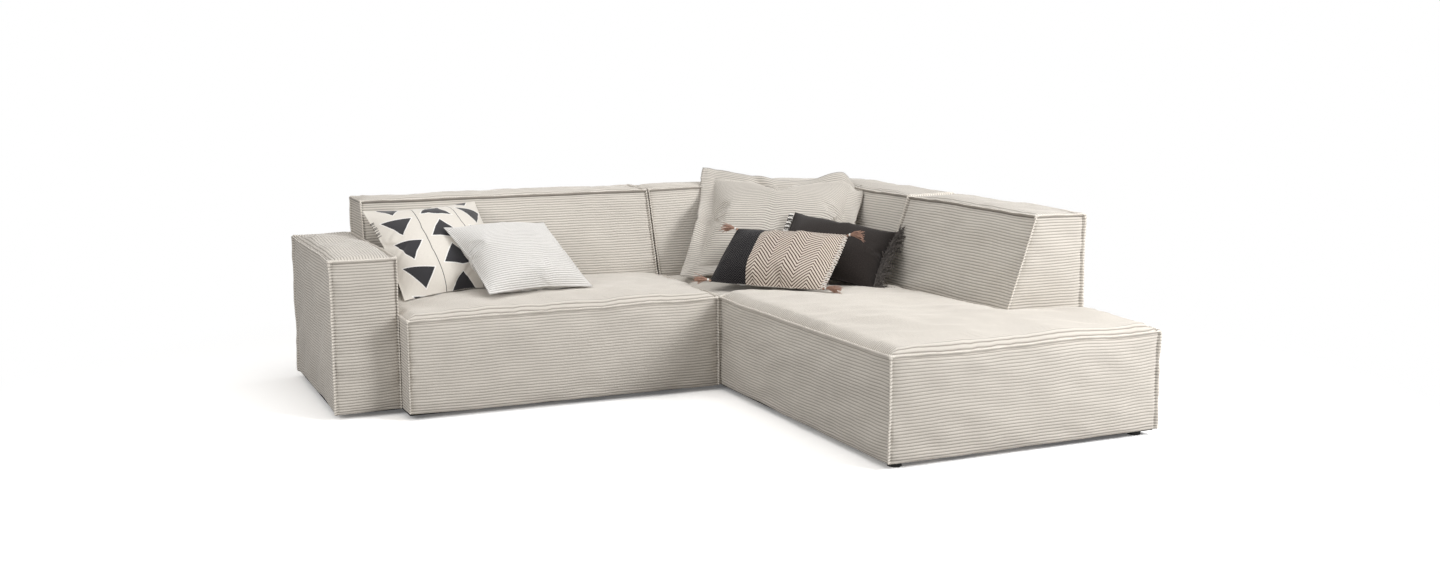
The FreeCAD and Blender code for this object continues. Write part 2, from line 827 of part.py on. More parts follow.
corner_feet_x = (right_split + hidden_foot_inset, right_plane - hidden_foot_inset)
corner_feet_y = (seat_front + hidden_foot_inset, rear_plane - hidden_foot_inset)
ottoman_skid_y = seat_front - hidden_foot_inset
front_feet_x = (right_split + ottoman_foot_inset, right_plane - ottoman_foot_inset)
front_feet_y = front_plane + ottoman_foot_inset
right_feet = [foot_set(x, y) for x in corner_feet_x for y in corner_feet_y + (ottoman_skid_y,)]
right_feet += [foot_set(x, front_feet_y) for x in front_feet_x]
right_foot_holes = [foot["hole"] for foot in right_feet]

corner_frame = rim_rails(corner_area) + [skid_along_y(corner_area, x) for x in corner_feet_x]
x0, x1, y0, y1 = shrunk(corner_area, post_inset)
corner_frame.append(box(x0, x1, spring_rail_y, spring_rail_y + rail_thickness,
                        frame_bottom + skid_height, frame_top))
corner_springs = spring_row(point(x0, y0 - spring_overlap, frame_top), ALONG_Y, ALONG_X,
                            spring_rail_y - y0 + 2 * spring_overlap, right_plane - back_foot_depth - x0)

spring_rail_x = right_plane - spring_rail_depth
x0, x1, y0, y1 = shrunk(ottoman_area, post_inset)
ottoman_frame = rim_rails(ottoman_area) + [skid_along_x(ottoman_area, ottoman_skid_y)]
ottoman_frame.append(box(spring_rail_x, spring_rail_x + rail_thickness, y0, y1,
                         frame_bottom + skid_height, frame_top))
corner_board = ottoman_foot_inset + skid_width / 2 - post_inset
for board_x in (x0, x1 - corner_board):
    ottoman_frame.append(box(board_x, board_x + corner_board, y0, y0 + corner_board,
                             frame_bottom, frame_bottom + skid_height))
ottoman_springs = spring_row(point(x0 - spring_overlap, y1, frame_top), ALONG_X, ALONG_Y * -1,
                             spring_rail_x - x0 + 2 * spring_overlap, y1 - y0)

joint_grip = 2 * post_inset
joint_fixings = [bolt_set(point(x, seat_front - post_inset, frame_bottom + level), ALONG_Y, joint_grip)
                 for x in (right_split + corner_bolt_from_left, right_plane - corner_bolt_from_right)
                 for level in (bolt_low + skid_height, bolt_high)]
joint_holes = [fixing["hole"] for fixing in joint_fixings]

corner_backs = (corner_rear_back, corner_side_back)
corner_cuts = joint_holes + right_foot_holes + plate_holes
for back in corner_backs:
    corner_cuts += back["bolt_holes"] + back["recesses"]
corner_soft_cuts = joint_holes + plate_holes + corner_rear_back["post_holes"] + corner_side_back["post_holes"]
ottoman_cuts = joint_holes + right_foot_holes + ottoman_back["bolt_holes"] + ottoman_back["recesses"]
ottoman_soft_cuts = joint_holes + ottoman_back["post_holes"]

keep("corner_seat_frame", [carved(solid, corner_cuts) for solid in corner_frame])
keep("corner_seat_springs", corner_springs)
keep("corner_seat_foam", [carved(block_foam(corner_seat, seat_pocket(corner_seat)), corner_soft_cuts)])
keep("corner_seat_cover", [carved(block_cover(corner_seat), corner_soft_cuts)])
keep("ottoman_frame", [carved(solid, ottoman_cuts) for solid in ottoman_frame])
keep("ottoman_springs", ottoman_springs)
keep("ottoman_foam", [carved(block_foam(ottoman, seat_pocket(ottoman)), ottoman_soft_cuts)])
keep("ottoman_cover", [carved(block_cover(ottoman), ottoman_soft_cuts)])
for name, back in (("corner_rear_back", corner_rear_back), ("corner_side_back", corner_side_back),
                   ("ottoman_back", ottoman_back)):
    for piece in ("frame", "foam", "cover"):
        keep(f"{name}_{piece}", back[piece])
keep("corner_back_belts", corner_rear_back["belts"] + corner_side_back["belts"])
keep("ottoman_back_belts", ottoman_back["belts"])
keep("right_underside_cloth", [underside_cloth(corner_area, right_foot_holes),
                               underside_cloth(ottoman_area, right_foot_holes)])
keep("right_feet", [foot["glide"] for foot in right_feet])
keep("right_foot_screws", [foot["screw"] for foot in right_feet])
keep("right_frame_bolts", corner_rear_back["bolts"] + corner_side_back["bolts"] + ottoman_back["bolts"]
     + [solid for fixing in joint_fixings for solid in fixing["solids"]])
keep("pocket_plates", [pair["pocket"] for pair in connectors])
keep("pocket_plate_screws", [screw for pair in connectors for screw in pair["right_screws"]])

# Loose cushions

left_supports = [parts["left_seat_cover"], left_back["cover"][0], parts["arm_cover"]]
triangle = lay_cushion("triangle_cushion", triangle_size, turned(from_arm(triangle_place), triangle_turn),
                       left_supports)
lay_cushion("white_cushion", white_size, turned(from_arm(white_place), white_turn),
            left_supports + [triangle])

right_supports = [parts["corner_seat_cover"], parts["ottoman_cover"], parts["left_seat_cover"],
                  corner_rear_back["cover"][0], corner_side_back["cover"][0], ottoman_back["cover"][0]]
cord = lay_cushion("cord_cushion", cord_size, turned(from_right(cord_place), cord_turn), right_supports,
                   flange=cord_flange)
charcoal = lay_cushion("charcoal_cushion", charcoal_size, turned(from_right(charcoal_place), charcoal_turn),
                       right_supports + [cord], {"fringe": fringe(charcoal_size)})
lay_cushion("lumbar_cushion", lumbar_size, turned(from_right(lumbar_place), lumbar_turn),
            right_supports + [cord, charcoal, parts["charcoal_cushion_fringe"]],
            {"tassels": tassels(lumbar_size)})

os.makedirs("parts", exist_ok=True)
for name, shape in parts.items():
    shape.exportStep(f"parts/{name}.step")
    faults = [solid for solid in shape.Solids if not solid.isValid()]
    print(f"{name}: {len(shape.Solids)} solids, {shape.Volume / 1e6:.3f} litres"
          + (f", {len(faults)} not valid" if faults else ""))
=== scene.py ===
import json
from math import cos, radians, sin

import bmesh
import bpy
import numpy as np
from bpy.props import FloatProperty, FloatVectorProperty, PointerProperty
from mathutils import Matrix, Vector
from mathutils.bvhtree import BVHTree


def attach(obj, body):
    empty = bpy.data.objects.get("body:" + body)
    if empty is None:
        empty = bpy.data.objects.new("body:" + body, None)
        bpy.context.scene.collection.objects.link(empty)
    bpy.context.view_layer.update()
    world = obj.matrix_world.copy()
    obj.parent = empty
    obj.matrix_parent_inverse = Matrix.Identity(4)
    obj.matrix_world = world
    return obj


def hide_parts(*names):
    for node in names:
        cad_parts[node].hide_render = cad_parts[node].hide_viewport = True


bl_info = {
    "name": "Corner sofa",
    "version": (1, 0, 0),
    "blender": (4, 5, 0),
    "location": "3D View > Sidebar > Sofa",
    "description": "Dresses a corner sofa in wide-wale corduroy, with its loose cushions",
    "category": "Add Mesh",
}

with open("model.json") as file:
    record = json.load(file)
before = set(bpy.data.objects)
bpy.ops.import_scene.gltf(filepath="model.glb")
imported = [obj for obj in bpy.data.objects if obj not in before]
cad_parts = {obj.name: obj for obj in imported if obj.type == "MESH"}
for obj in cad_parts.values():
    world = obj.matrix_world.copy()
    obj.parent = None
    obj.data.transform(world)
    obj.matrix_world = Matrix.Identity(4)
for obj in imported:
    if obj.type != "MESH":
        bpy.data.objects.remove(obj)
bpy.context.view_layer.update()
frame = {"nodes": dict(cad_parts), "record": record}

# Photograph's frame and the camera fitted to it
PHOTO_WIDTH = 1440
FOCAL_PIXELS = 1480.0
SENSOR_WIDTH = 36.0

# Where each rib's cloth is sampled, as parts of a rib
RIB_MARKS = (0, 0.16, 0.5, 0.84)

# Rows of an unribbed panel beside its seams, in metres from them
SEAM_ROWS = (0, 0.0035, 0.008, 0.015)

# Rows of a seam's lip, as parts of its height
LIP_ROWS = (1.0, 0.55)

# Reach of a lip's thickness, of the corner where lips meet, of the painted shadow at a seam's root and of the
# padding's slope
LIP_FADE = 0.012
LIP_CORNER = 0.010
ROOT_REACH = 0.0045
PAD_EDGE = 0.05

# Lengths of the padding's broad and fine waves, and of a seam's slow and quick wandering
BROAD_WAVE, FINE_WAVE = 0.30, 0.11
SLOW_WANDER, QUICK_WANDER = 0.33, 0.09

# Ripples along a lip, as a part of its height, and their length
RIPPLE = 0.11
RIPPLE_WAVE = 0.07

# Puckers beside the seams: height, length, and how far from the seam they begin and reach
PUCKER_HEIGHT = 0.0022
PUCKER_WAVE = 0.045
PUCKER_START, PUCKER_REACH = 0.006, 0.035

# A side that meets its neighbour stays this far inside its plane and holds nearby cloth still
TIGHT_INSET = 0.0018
TIGHT_REACH = 0.04

# Steep edge of a crown, the ottoman crown's fall before its back, and the backs' height over the seats' seams
CROWN_START = 0.035
CROWN_END = 0.07
BACK_LIFT = 0.0015

# How much paler the painted highlight on a lip's tip is than the painted shadow at its root is dark
TIP_HIGHLIGHT_SHARE = 2.1

# Loose cushions: spacing of the simulated sheets, and steps along the ribs of the finished ones
SHEET_SPACING = 0.0105
RIB_STEP = 0.011

# Frames of the simulation, and the cloth in it
CLOTH_FRAMES = 20
CLOTH_SETTINGS = {
    "quality": 7, "mass": 0.15, "tension_stiffness": 25, "compression_stiffness": 18, "shear_stiffness": 8,
    "bending_stiffness": 0.35, "use_pressure": True, "uniform_pressure_force": 3.5,
}

# How much deeper ribs are cut on loose cushions
CUSHION_RIB_DEPTH = 1.35

# Wide rim of the large cushion and finer ribs of the white one
FLANGE = 0.062
WHITE_PITCH = 0.0095


def length(name, value, description):
    return FloatProperty(name=name, description=description, default=value, unit="LENGTH", subtype="DISTANCE")


def colour(name, value, description):
    return FloatVectorProperty(name=name, description=description, default=value, size=3,
                               min=0.0, max=1.0, subtype="COLOR")


def place(name, value, description):
    return FloatVectorProperty(name=name, description=description, default=value, size=3,
                               unit="LENGTH", subtype="TRANSLATION")


def turn(name, value, description):
    return FloatVectorProperty(name=name, description=description, default=[radians(part) for part in value],
                               size=3, unit="ROTATION", subtype="EULER")


class SofaSizes(bpy.types.PropertyGroup):
    width: length("Width", 2.680, "Whole sofa along its rear, at the seams")
    depth: length("Depth", 2.380, "Whole sofa from the rear to the ottoman's front")
    floor_gap: length("Floor gap", 0.020, "Height of the covers' lower edge")
    element_gap: length("Element gap", 0.010, "Gap between the two elements")
    arm_width: length("Arm width", 0.250, "Arm across its top")
    arm_depth: length("Arm depth", 0.890, "Arm from its front to the rear")
    arm_height: length("Arm height", 0.610, "Arm's top seams above the floor")
    arm_crown: length("Arm crown", 0.024, "Rise of the arm's top above its seams")
    left_seat_width: length("Left seat width", 1.300, "Left seat between arm and ottoman")
    left_depth: length("Left depth", 1.020, "Left seat from its front to the rear")
    seat_height: length("Seat height", 0.385, "Seat seams above the floor")
    left_crown: length("Left seat crown", 0.050, "Rise of the left seat above its seams")
    corner_crown: length("Corner seat crown", 0.026, "Rise of the corner seat above its seams")
    ottoman_crown: length("Ottoman crown", 0.050, "Rise of the ottoman above its seams")
    back_height: length("Back height", 0.768, "Back seams above the floor")
    back_top: length("Back top depth", 0.220, "Depth of the backs' tops")
    back_foot: length("Back foot depth", 0.350, "Depth of the backs where they meet the seats")
    back_crown: length("Back crown", 0.018, "Rise of the backs' tops above their seams")
    ottoman_setback: length("Ottoman setback", 0.450, "Ottoman in front of its back")


class ClothSizes(bpy.types.PropertyGroup):
    wale_pitch: length("Wale pitch", 0.0115, "Distance between the corduroy's ribs")
    wale_depth: length("Wale depth", 0.0022, "Depth of the grooves between the ribs")
    lip_height: length("Lip height", 0.0125, "How far a seam's lip stands out")
    lip_root: length("Lip root", 0.0044, "Half the lip's thickness at its root")
    lip_tip: length("Lip tip", 0.0034, "Half the lip's thickness at its tip")
    seam_dip: length("Seam dip", 0.0030, "How far the cloth is drawn in beside a seam")
    step: length("Step", 0.026, "Mesh spacing along the ribs")
    side_bulge: length("Side bulge", 0.012, "Swelling of the free sides")
    face_bulge: length("Face bulge", 0.015, "Swelling of the backs' sitting faces")
    unevenness: length("Unevenness", 0.0035, "Soft waves in the padding")
    seam_wander: length("Seam wander", 0.0030, "How far a seam wanders off its line")


class SofaColours(bpy.types.PropertyGroup):
    corduroy: colour("Corduroy", (0.665, 0.625, 0.57), "Ribs of the sofa's corduroy")
    # Painted shade: the groove colour darkens the grooves between the ribs as if they were in shadow.
    groove: colour("Groove", (0.24, 0.215, 0.185), "Grooves of the sofa's corduroy")


class CameraPlace(bpy.types.PropertyGroup):
    position: place("Position", (-2.2907, -5.3311, 1.3711), "Where the camera stands")
    turn: turn("Turn", (-24.47, 8.80, -0.13), "Heading, downward tilt and roll")


CORNERS = [(i, j, k) for i in (0, 1) for j in (0, 1) for k in (0, 1)]
SIDES = {
    "front": ((0, 0, 0), (1, 0, 0), (1, 0, 1), (0, 0, 1)),
    "rear": ((1, 1, 0), (0, 1, 0), (0, 1, 1), (1, 1, 1)),
    "left": ((0, 1, 0), (0, 0, 0), (0, 0, 1), (0, 1, 1)),
    "right": ((1, 0, 0), (1, 1, 0), (1, 1, 1), (1, 0, 1)),
    "top": ((0, 0, 1), (1, 0, 1), (1, 1, 1), (0, 1, 1)),
    "bottom": ((0, 1, 0), (1, 1, 0), (1, 0, 0), (0, 0, 0)),
}


def waves(points, scale, seed, count=14):
    """Soft seeded waves, about -1 to 1, at points in metres; scale is their length."""
    random = np.random.default_rng(seed)
    total = np.zeros(points.shape[:-1])
    for _ in range(count):
        heading = random.normal(size=3)
        heading /= np.linalg.norm(heading)
        number = 2 * np.pi / (scale * random.uniform(0.7, 1.5))
        total += np.sin(points @ heading * number + random.uniform(0, 2 * np.pi))
    return total / np.sqrt(count)


def unit(vector):
    size = np.linalg.norm(vector, axis=-1, keepdims=True)
    return vector / np.maximum(size, 1e-9)


def smooth(value):
    value = np.clip(value, 0, 1)
    return value * value * (3 - 2 * value)


def rib_marks(ribs):
    """Where ribbed cloth is sampled, from 0 to 1."""
    return np.array([(rib + part) / ribs for rib in range(ribs) for part in RIB_MARKS] + [1.0])


def distances(span, ribbed, cloth):
    """Distances from one seam to the next: four to each rib, or even steps that are closer near the seams."""
    if ribbed:
        return rib_marks(max(2, round(span / cloth.wale_pitch))) * span
    near = np.array(SEAM_ROWS)
    count = max(2, round((span - 2 * near[-1]) / cloth.step))
    middle = np.linspace(near[-1], span - near[-1], count + 1)
    return np.concatenate([near[:-1], middle, span - near[-2::-1]])


def lipped(marks, cloth):
    """Adds the lips' rows at both ends: where rows lie, how far they stand out, how far they move inwards."""
    lifts = np.array(LIP_ROWS)
    halves = np.array([cloth.lip_tip, (cloth.lip_tip + cloth.lip_root) / 2])
    places = np.concatenate([0 * lifts, marks, np.full(len(lifts), marks[-1])])
    inwards = cloth.lip_root * (np.exp(-marks / LIP_FADE) - np.exp(-(marks[-1] - marks) / LIP_FADE))
    return (places, np.concatenate([lifts, 0 * marks, lifts[::-1]]),
            np.concatenate([halves, inwards, -halves[::-1]]))


class Panel:
    """One cloth panel of a block: its mesh rows, and the rims that are sewn to its neighbours."""

    def __init__(self, block, side):
        self.block = block
        self.side = side
        self.keys = SIDES[side]
        a, b, c, d = [block.corners[key] for key in self.keys]
        self.quad = (a, b, c, d)
        self.normal = unit(np.cross(b - a + c - d, d - a + c - b))

    def build(self, cloth):
        """Works out the points, how far each lies across the ribs, and its painted seam shadow and lip
        highlight.
        """
        block = self.block
        a, b, c, d = self.quad
        width = (np.linalg.norm(b - a) + np.linalg.norm(c - d)) / 2
        height = (np.linalg.norm(d - a) + np.linalg.norm(c - b)) / 2
        rib_columns = self.side == "top" and block.lengthwise
        rib_rows = self.side != "bottom" and not rib_columns
        u, lift_u, half_u = lipped(distances(width, rib_columns, cloth), cloth)
        v, lift_v, half_v = lipped(distances(height, rib_rows, cloth), cloth)
        gu, gv = np.meshgrid(u / width, v / height)
        base = self.flat(gu, gv)
        from_u = np.minimum(gu, 1 - gu) * width
        from_v = np.minimum(gv, 1 - gv) * height
        swell = self.swelling(base, gu, gv, np.minimum(from_u, from_v), cloth)
        along_u, along_v = self.lips(gu, gv)
        size_u, size_v = [np.linalg.norm(along, axis=-1, keepdims=True) for along in (along_u, along_v)]
        corner = unit(along_u + along_v) * np.maximum(size_u, size_v)
        near_u, near_v = [np.exp(-(away / LIP_CORNER) ** 2)[..., None] for away in (from_u, from_v)]
        aim_u = along_u * (1 - near_v) + corner * near_v
        aim_v = along_v * (1 - near_u) + corner * near_u
        full_u = np.broadcast_to(lift_u[None, :], gu.shape)[..., None]
        full_v = np.broadcast_to(lift_v[:, None], gu.shape)[..., None]
        lifted = np.maximum(full_u, full_v)
        rise = np.where(full_v > 0, np.where(full_u > 0, corner, aim_v), aim_u) * lifted
        ripple = 1 + RIPPLE * waves(base, RIPPLE_WAVE, block.seed + 3)
        shape = base + block.wander(base, cloth) + self.normal * swell[..., None]
        shape = shape + rise * cloth.lip_height * ripple[..., None]
        shape = shape + unit((b - a) + (c - d)) * half_u[None, :, None]
        self.points = shape + unit((d - a) + (c - b)) * half_v[:, None, None]
        # Painted shadow at each seam's root, and a painted highlight on the lip's tip where the value turns
        # negative; the materials read it as the seam attribute.
        root_u, root_v = [np.exp(-(away / ROOT_REACH) ** 2) for away in (from_u, from_v)]
        root = np.maximum(root_u * size_u[..., 0], root_v * size_v[..., 0])
        self.seam = root * (1 - TIP_HIGHLIGHT_SHARE * lifted[..., 0])
        self.across = gv * height if rib_rows else gu * width if rib_columns else np.full(gu.shape, -1.0)

    def swelling(self, base, u, v, edge, cloth):
        """How far the padding pushes the cloth out: its form, soft waves, puckers and drawn-in seams."""
        if self.side in self.block.tight:
            return np.full(u.shape, -TIGHT_INSET)
        seed = self.block.seed
        inside = smooth(edge / PAD_EDGE)
        pucker = np.exp(-edge / PUCKER_REACH) * smooth(edge / PUCKER_START)
        swell = self.block.swell(self.side, u, v, base)
        swell = swell + cloth.unevenness * inside * waves(base, BROAD_WAVE, seed)
        swell = swell + 0.5 * cloth.unevenness * inside * waves(base, FINE_WAVE, seed + 1)
        swell = swell + PUCKER_HEIGHT * pucker * waves(base, PUCKER_WAVE, seed + 2)
        return swell - cloth.seam_dip * np.exp(-((edge - ROOT_REACH) / ROOT_REACH) ** 2)

    def lips(self, u, v):
        """The way in which the nearest lip stands out, across each of the panel's two directions."""
        first, second, third, fourth = self.keys
        lip = self.block.lip
        return (np.array([lip(first, fourth), lip(second, third)])[np.where(u < 0.5, 0, 1)],
                np.array([lip(first, second), lip(fourth, third)])[np.where(v < 0.5, 0, 1)])

    def flat(self, u, v):
        a, b, c, d = self.quad
        u = u[..., None]
        v = v[..., None]
        return a * (1 - u) * (1 - v) + b * u * (1 - v) + c * u * v + d * (1 - u) * v

    def rims(self, start, columns, rows):
        """The four outer rows of vertices, each with the two corners that it runs between."""
        ids = start + np.arange(columns * rows).reshape(rows, columns)
        k = self.keys
        return [((k[0], k[1]), ids[0, :]), ((k[1], k[2]), ids[:, -1]),
                ((k[3], k[2]), ids[-1, :]), ((k[0], k[3]), ids[:, 0])]


class Block:
    """An upholstered block with eight corners, as one closed mesh of six sewn panels."""

    def __init__(self, corners, free, bulge, crown, seed, tight, lengthwise):
        self.corners = {key: np.array(value, float) for key, value in corners.items()}
        self.free = free
        self.bulge = bulge
        self.crown = crown
        self.seed = seed
        self.tight = tight
        self.lengthwise = lengthwise
        self.panels = {side: Panel(self, side) for side in SIDES}

    def lip(self, first, second):
        """The direction in which the seam between two corners stands out, or nothing at a plain edge."""
        meeting = [side for side, keys in SIDES.items() if first in keys and second in keys]
        total = sum(self.panels[side].normal * self.free.get(side, 0) for side in meeting)
        size = np.linalg.norm(total)
        if "bottom" in meeting or size < 0.2:
            return np.zeros(3)
        return total / size

    def wander(self, base, cloth):
        """Moves the seams off their lines a little, the same for the panels on both sides."""
        slow = np.stack([waves(base, SLOW_WANDER, self.seed + 10 + axis) for axis in range(3)], axis=-1)
        quick = np.stack([waves(base, QUICK_WANDER, self.seed + 20 + axis) for axis in range(3)], axis=-1)
        moved = (slow + 0.22 * quick) * cloth.seam_wander * np.array([0.5, 0.5, 0.75])
        for side in self.tight:
            panel = self.panels[side]
            depth = np.abs((base - panel.quad[0]) @ panel.normal)
            still = 1 - smooth(depth / TIGHT_REACH)
            along = (moved @ panel.normal)[..., None] * panel.normal
            moved = moved - along * still[..., None]
        return moved

    def swell(self, side, u, v, base):
        if side == "top":
            return self.crown(base)
        return self.bulge.get(side, 0.0) * (1 - np.abs(2 * u - 1) ** 4) * (1 - np.abs(2 * v - 1) ** 3)

    def mesh(self, name, cloth):
        """Builds the panels, sews them together and closes the mesh."""
        points, faces, rims = [], [], {}
        start = 0
        for panel in self.panels.values():
            panel.build(cloth)
            rows, columns = panel.points.shape[:2]
            points.append(panel.points.reshape(-1, 3))
            faces += grid_faces(start + np.arange(rows * columns).reshape(rows, columns))
            for (first, second), rim in panel.rims(start, columns, rows):
                key = tuple(sorted((first, second)))
                rims.setdefault(key, []).append(rim if (first, second) == key else rim[::-1])
            start += rows * columns
        points = np.concatenate(points)
        for first, second in rims.values():
            faces += sewn(points, first, second)
        mesh = bpy.data.meshes.new(name)
        mesh.from_pydata(points.tolist(), [], faces)
        for label in ("across", "seam"):
            values = [getattr(panel, label).ravel() for panel in self.panels.values()]
            mark_points(mesh, label, np.concatenate(values))
        close(mesh)
        return mesh


def grid_faces(ids, order=(0, 1, 2, 3)):
    """Squares between the vertices of a grid, each with its corners in the given order."""
    corners = [ids[:-1, :-1], ids[:-1, 1:], ids[1:, 1:], ids[1:, :-1]]
    return np.stack([corners[index] for index in order], axis=-1).reshape(-1, 4).tolist()


def mark_points(mesh, label, values):
    """Keeps a number, or three, with each vertex for the materials and ribs."""
    kind, field = ("FLOAT_VECTOR", "vector") if values.ndim == 2 else ("FLOAT", "value")
    attribute = mesh.attributes.new(label, kind, "POINT")
    attribute.data.foreach_set(field, values.astype(np.float32).ravel())


def sewn(points, first, second):
    """Triangles between two rims that run the same way and may have different counts."""
    marks = []
    for rim in (first, second):
        steps = np.linalg.norm(np.diff(points[rim], axis=0), axis=1)
        run = np.concatenate([[0], np.cumsum(steps)])
        marks.append(run / run[-1])
    faces = []
    i = j = 0
    while i < len(first) - 1 or j < len(second) - 1:
        go_first = j == len(second) - 1 or (i < len(first) - 1 and marks[0][i + 1] <= marks[1][j + 1])
        if go_first:
            faces.append([int(first[i]), int(first[i + 1]), int(second[j])])
            i += 1
        else:
            faces.append([int(first[i]), int(second[j + 1]), int(second[j])])
            j += 1
    return faces


def close(mesh):
    """Fills what is left open at the corners and turns every face outwards."""
    form = bmesh.new()
    form.from_mesh(mesh)
    open_edges = [edge for edge in form.edges if edge.is_boundary]
    if open_edges:
        bmesh.ops.holes_fill(form, edges=open_edges, sides=12)
    bmesh.ops.recalc_face_normals(form, faces=form.faces)
    if form.calc_volume(signed=True) < 0:
        bmesh.ops.reverse_faces(form, faces=form.faces)
    left_open = sum(edge.is_boundary for edge in form.edges)
    if left_open:
        print("open edges left in", mesh.name, left_open)
    form.to_mesh(mesh)
    form.free()


def node_tree(name, sizes):
    """A geometry node tree with a geometry and named sizes going in and a geometry coming out."""
    tree = bpy.data.node_groups.new(name, "GeometryNodeTree")
    tree.interface.new_socket("Geometry", in_out="INPUT", socket_type="NodeSocketGeometry")
    for label, value in sizes.items():
        kind = "NodeSocketMaterial" if isinstance(value, bpy.types.Material) else "NodeSocketFloat"
        socket = tree.interface.new_socket(label, in_out="INPUT", socket_type=kind)
        socket.default_value = value
    tree.interface.new_socket("Geometry", in_out="OUTPUT", socket_type="NodeSocketGeometry")
    return tree, tree.nodes.new("NodeGroupInput"), tree.nodes.new("NodeGroupOutput")


def add_node(tree, kind, inputs=(), **settings):
    """A new node with its settings, and its inputs set to values or joined to other nodes' outputs."""
    node = tree.nodes.new(kind)
    for label, value in settings.items():
        setattr(node, label, value)
    for label, value in dict(inputs).items():
        if isinstance(value, bpy.types.NodeSocket):
            tree.links.new(value, node.inputs[label])
        else:
            node.inputs[label].default_value = value
    return node


def calculate(tree, operation, *values):
    return add_node(tree, "ShaderNodeMath", enumerate(values), operation=operation).outputs[0]


def run_tree(obj, label, make, values):
    """Runs a node tree, made the first time, on an object and leaves the result as its plain mesh."""
    tree = bpy.data.node_groups.get(label)
    if tree is None:
        tree = make(label, values)
    modifier = obj.modifiers.new(label, "NODES")
    modifier.node_group = tree
    for item in tree.interface.items_tree:
        if item.in_out == "INPUT" and item.name in values:
            modifier[item.identifier] = values[item.name]
    obj.update_tag()
    graph = bpy.context.evaluated_depsgraph_get()
    graph.update()
    result = bpy.data.meshes.new_from_object(obj.evaluated_get(graph), preserve_all_data_layers=True,
                                             depsgraph=graph)
    obj.modifiers.remove(modifier)
    old = obj.data
    obj.data = result
    bpy.data.meshes.remove(old)


def end_tree(tree, geometry, material, result):
    """Ends a tree with smooth shading, real meshes and their material."""
    shade = add_node(tree, "GeometryNodeSetShadeSmooth", {"Geometry": geometry})
    real = add_node(tree, "GeometryNodeRealizeInstances", {"Geometry": shade.outputs["Geometry"]})
    paint = add_node(tree, "GeometryNodeSetMaterial", {"Geometry": real.outputs["Geometry"],
                                                       "Material": material})
    tree.links.new(paint.outputs["Geometry"], result.inputs["Geometry"])


def rib_swing(tree, distance, pitch):
    """From 0 on the middle of a rib to 1 in the groove beside it."""
    part = calculate(tree, "FRACT", calculate(tree, "DIVIDE", distance, pitch))
    return calculate(tree, "ABSOLUTE", calculate(tree, "MULTIPLY_ADD", part, 2.0, -1.0))


def rib_tree(label, values):
    """Raises round ribs on a mesh whose across attribute says how far each point lies across the ribs."""
    tree, given, result = node_tree(label, values)
    across = add_node(tree, "GeometryNodeInputNamedAttribute", {"Name": "across"}, data_type="FLOAT")
    distance = across.outputs["Attribute"]
    swing = rib_swing(tree, distance, given.outputs["Wale pitch"])
    rib = calculate(tree, "SUBTRACT", 0.62, calculate(tree, "POWER", swing, 3.0))
    ribbed = calculate(tree, "GREATER_THAN", distance, -0.5)
    height = calculate(tree, "MULTIPLY", rib, given.outputs["Wale depth"])
    height = calculate(tree, "MULTIPLY", height, ribbed)
    normal = add_node(tree, "GeometryNodeInputNormal").outputs["Normal"]
    scaled = add_node(tree, "ShaderNodeVectorMath", {0: normal, "Scale": height}, operation="SCALE")
    move = add_node(tree, "GeometryNodeSetPosition", {"Geometry": given.outputs["Geometry"],
                                                      "Offset": scaled.outputs[0]})
    end_tree(tree, move.outputs["Geometry"], given.outputs["Cloth"], result)
    return tree


def raise_ribs(obj, material, pitch, depth):
    run_tree(obj, "Corduroy ribs", rib_tree, {"Wale pitch": pitch, "Wale depth": depth, "Cloth": material})


def new_material(name, finish):
    """A material with the given values on its shader, and its tree."""
    material = bpy.data.materials.new(name)
    material.use_nodes = True
    for label, value in finish.items():
        material.node_tree.nodes["Principled BSDF"].inputs[label].default_value = value
    return material, material.node_tree


def noise(tree, vector, scale, detail=2.0):
    node = add_node(tree, "ShaderNodeTexNoise", {"Scale": scale, "Detail": detail, "Vector": vector})
    return node.outputs["Fac"]


def as_colour(value):
    """A plain colour with its alpha, or another node's output as it is."""
    return value if isinstance(value, bpy.types.NodeSocket) else (*value, 1)


def mixed(tree, factor, first, second):
    """A colour between two others, each plain or from another node."""
    ends = {"Factor": factor, "A": as_colour(first), "B": as_colour(second)}
    return add_node(tree, "ShaderNodeMix", ends, data_type="RGBA").outputs["Result"]


def colour_and_relief(tree, base, value, height, strength, distance):
    """Gives the shader its colour, lighter or darker by a value, and its fine relief."""
    shader = tree.nodes["Principled BSDF"]
    shade = add_node(tree, "ShaderNodeHueSaturation", {"Color": as_colour(base), "Value": value})
    tree.links.new(shade.outputs["Color"], shader.inputs["Base Color"])
    bump = add_node(tree, "ShaderNodeBump", {"Strength": strength, "Distance": distance, "Height": height})
    tree.links.new(bump.outputs["Normal"], shader.inputs["Normal"])
    return shader


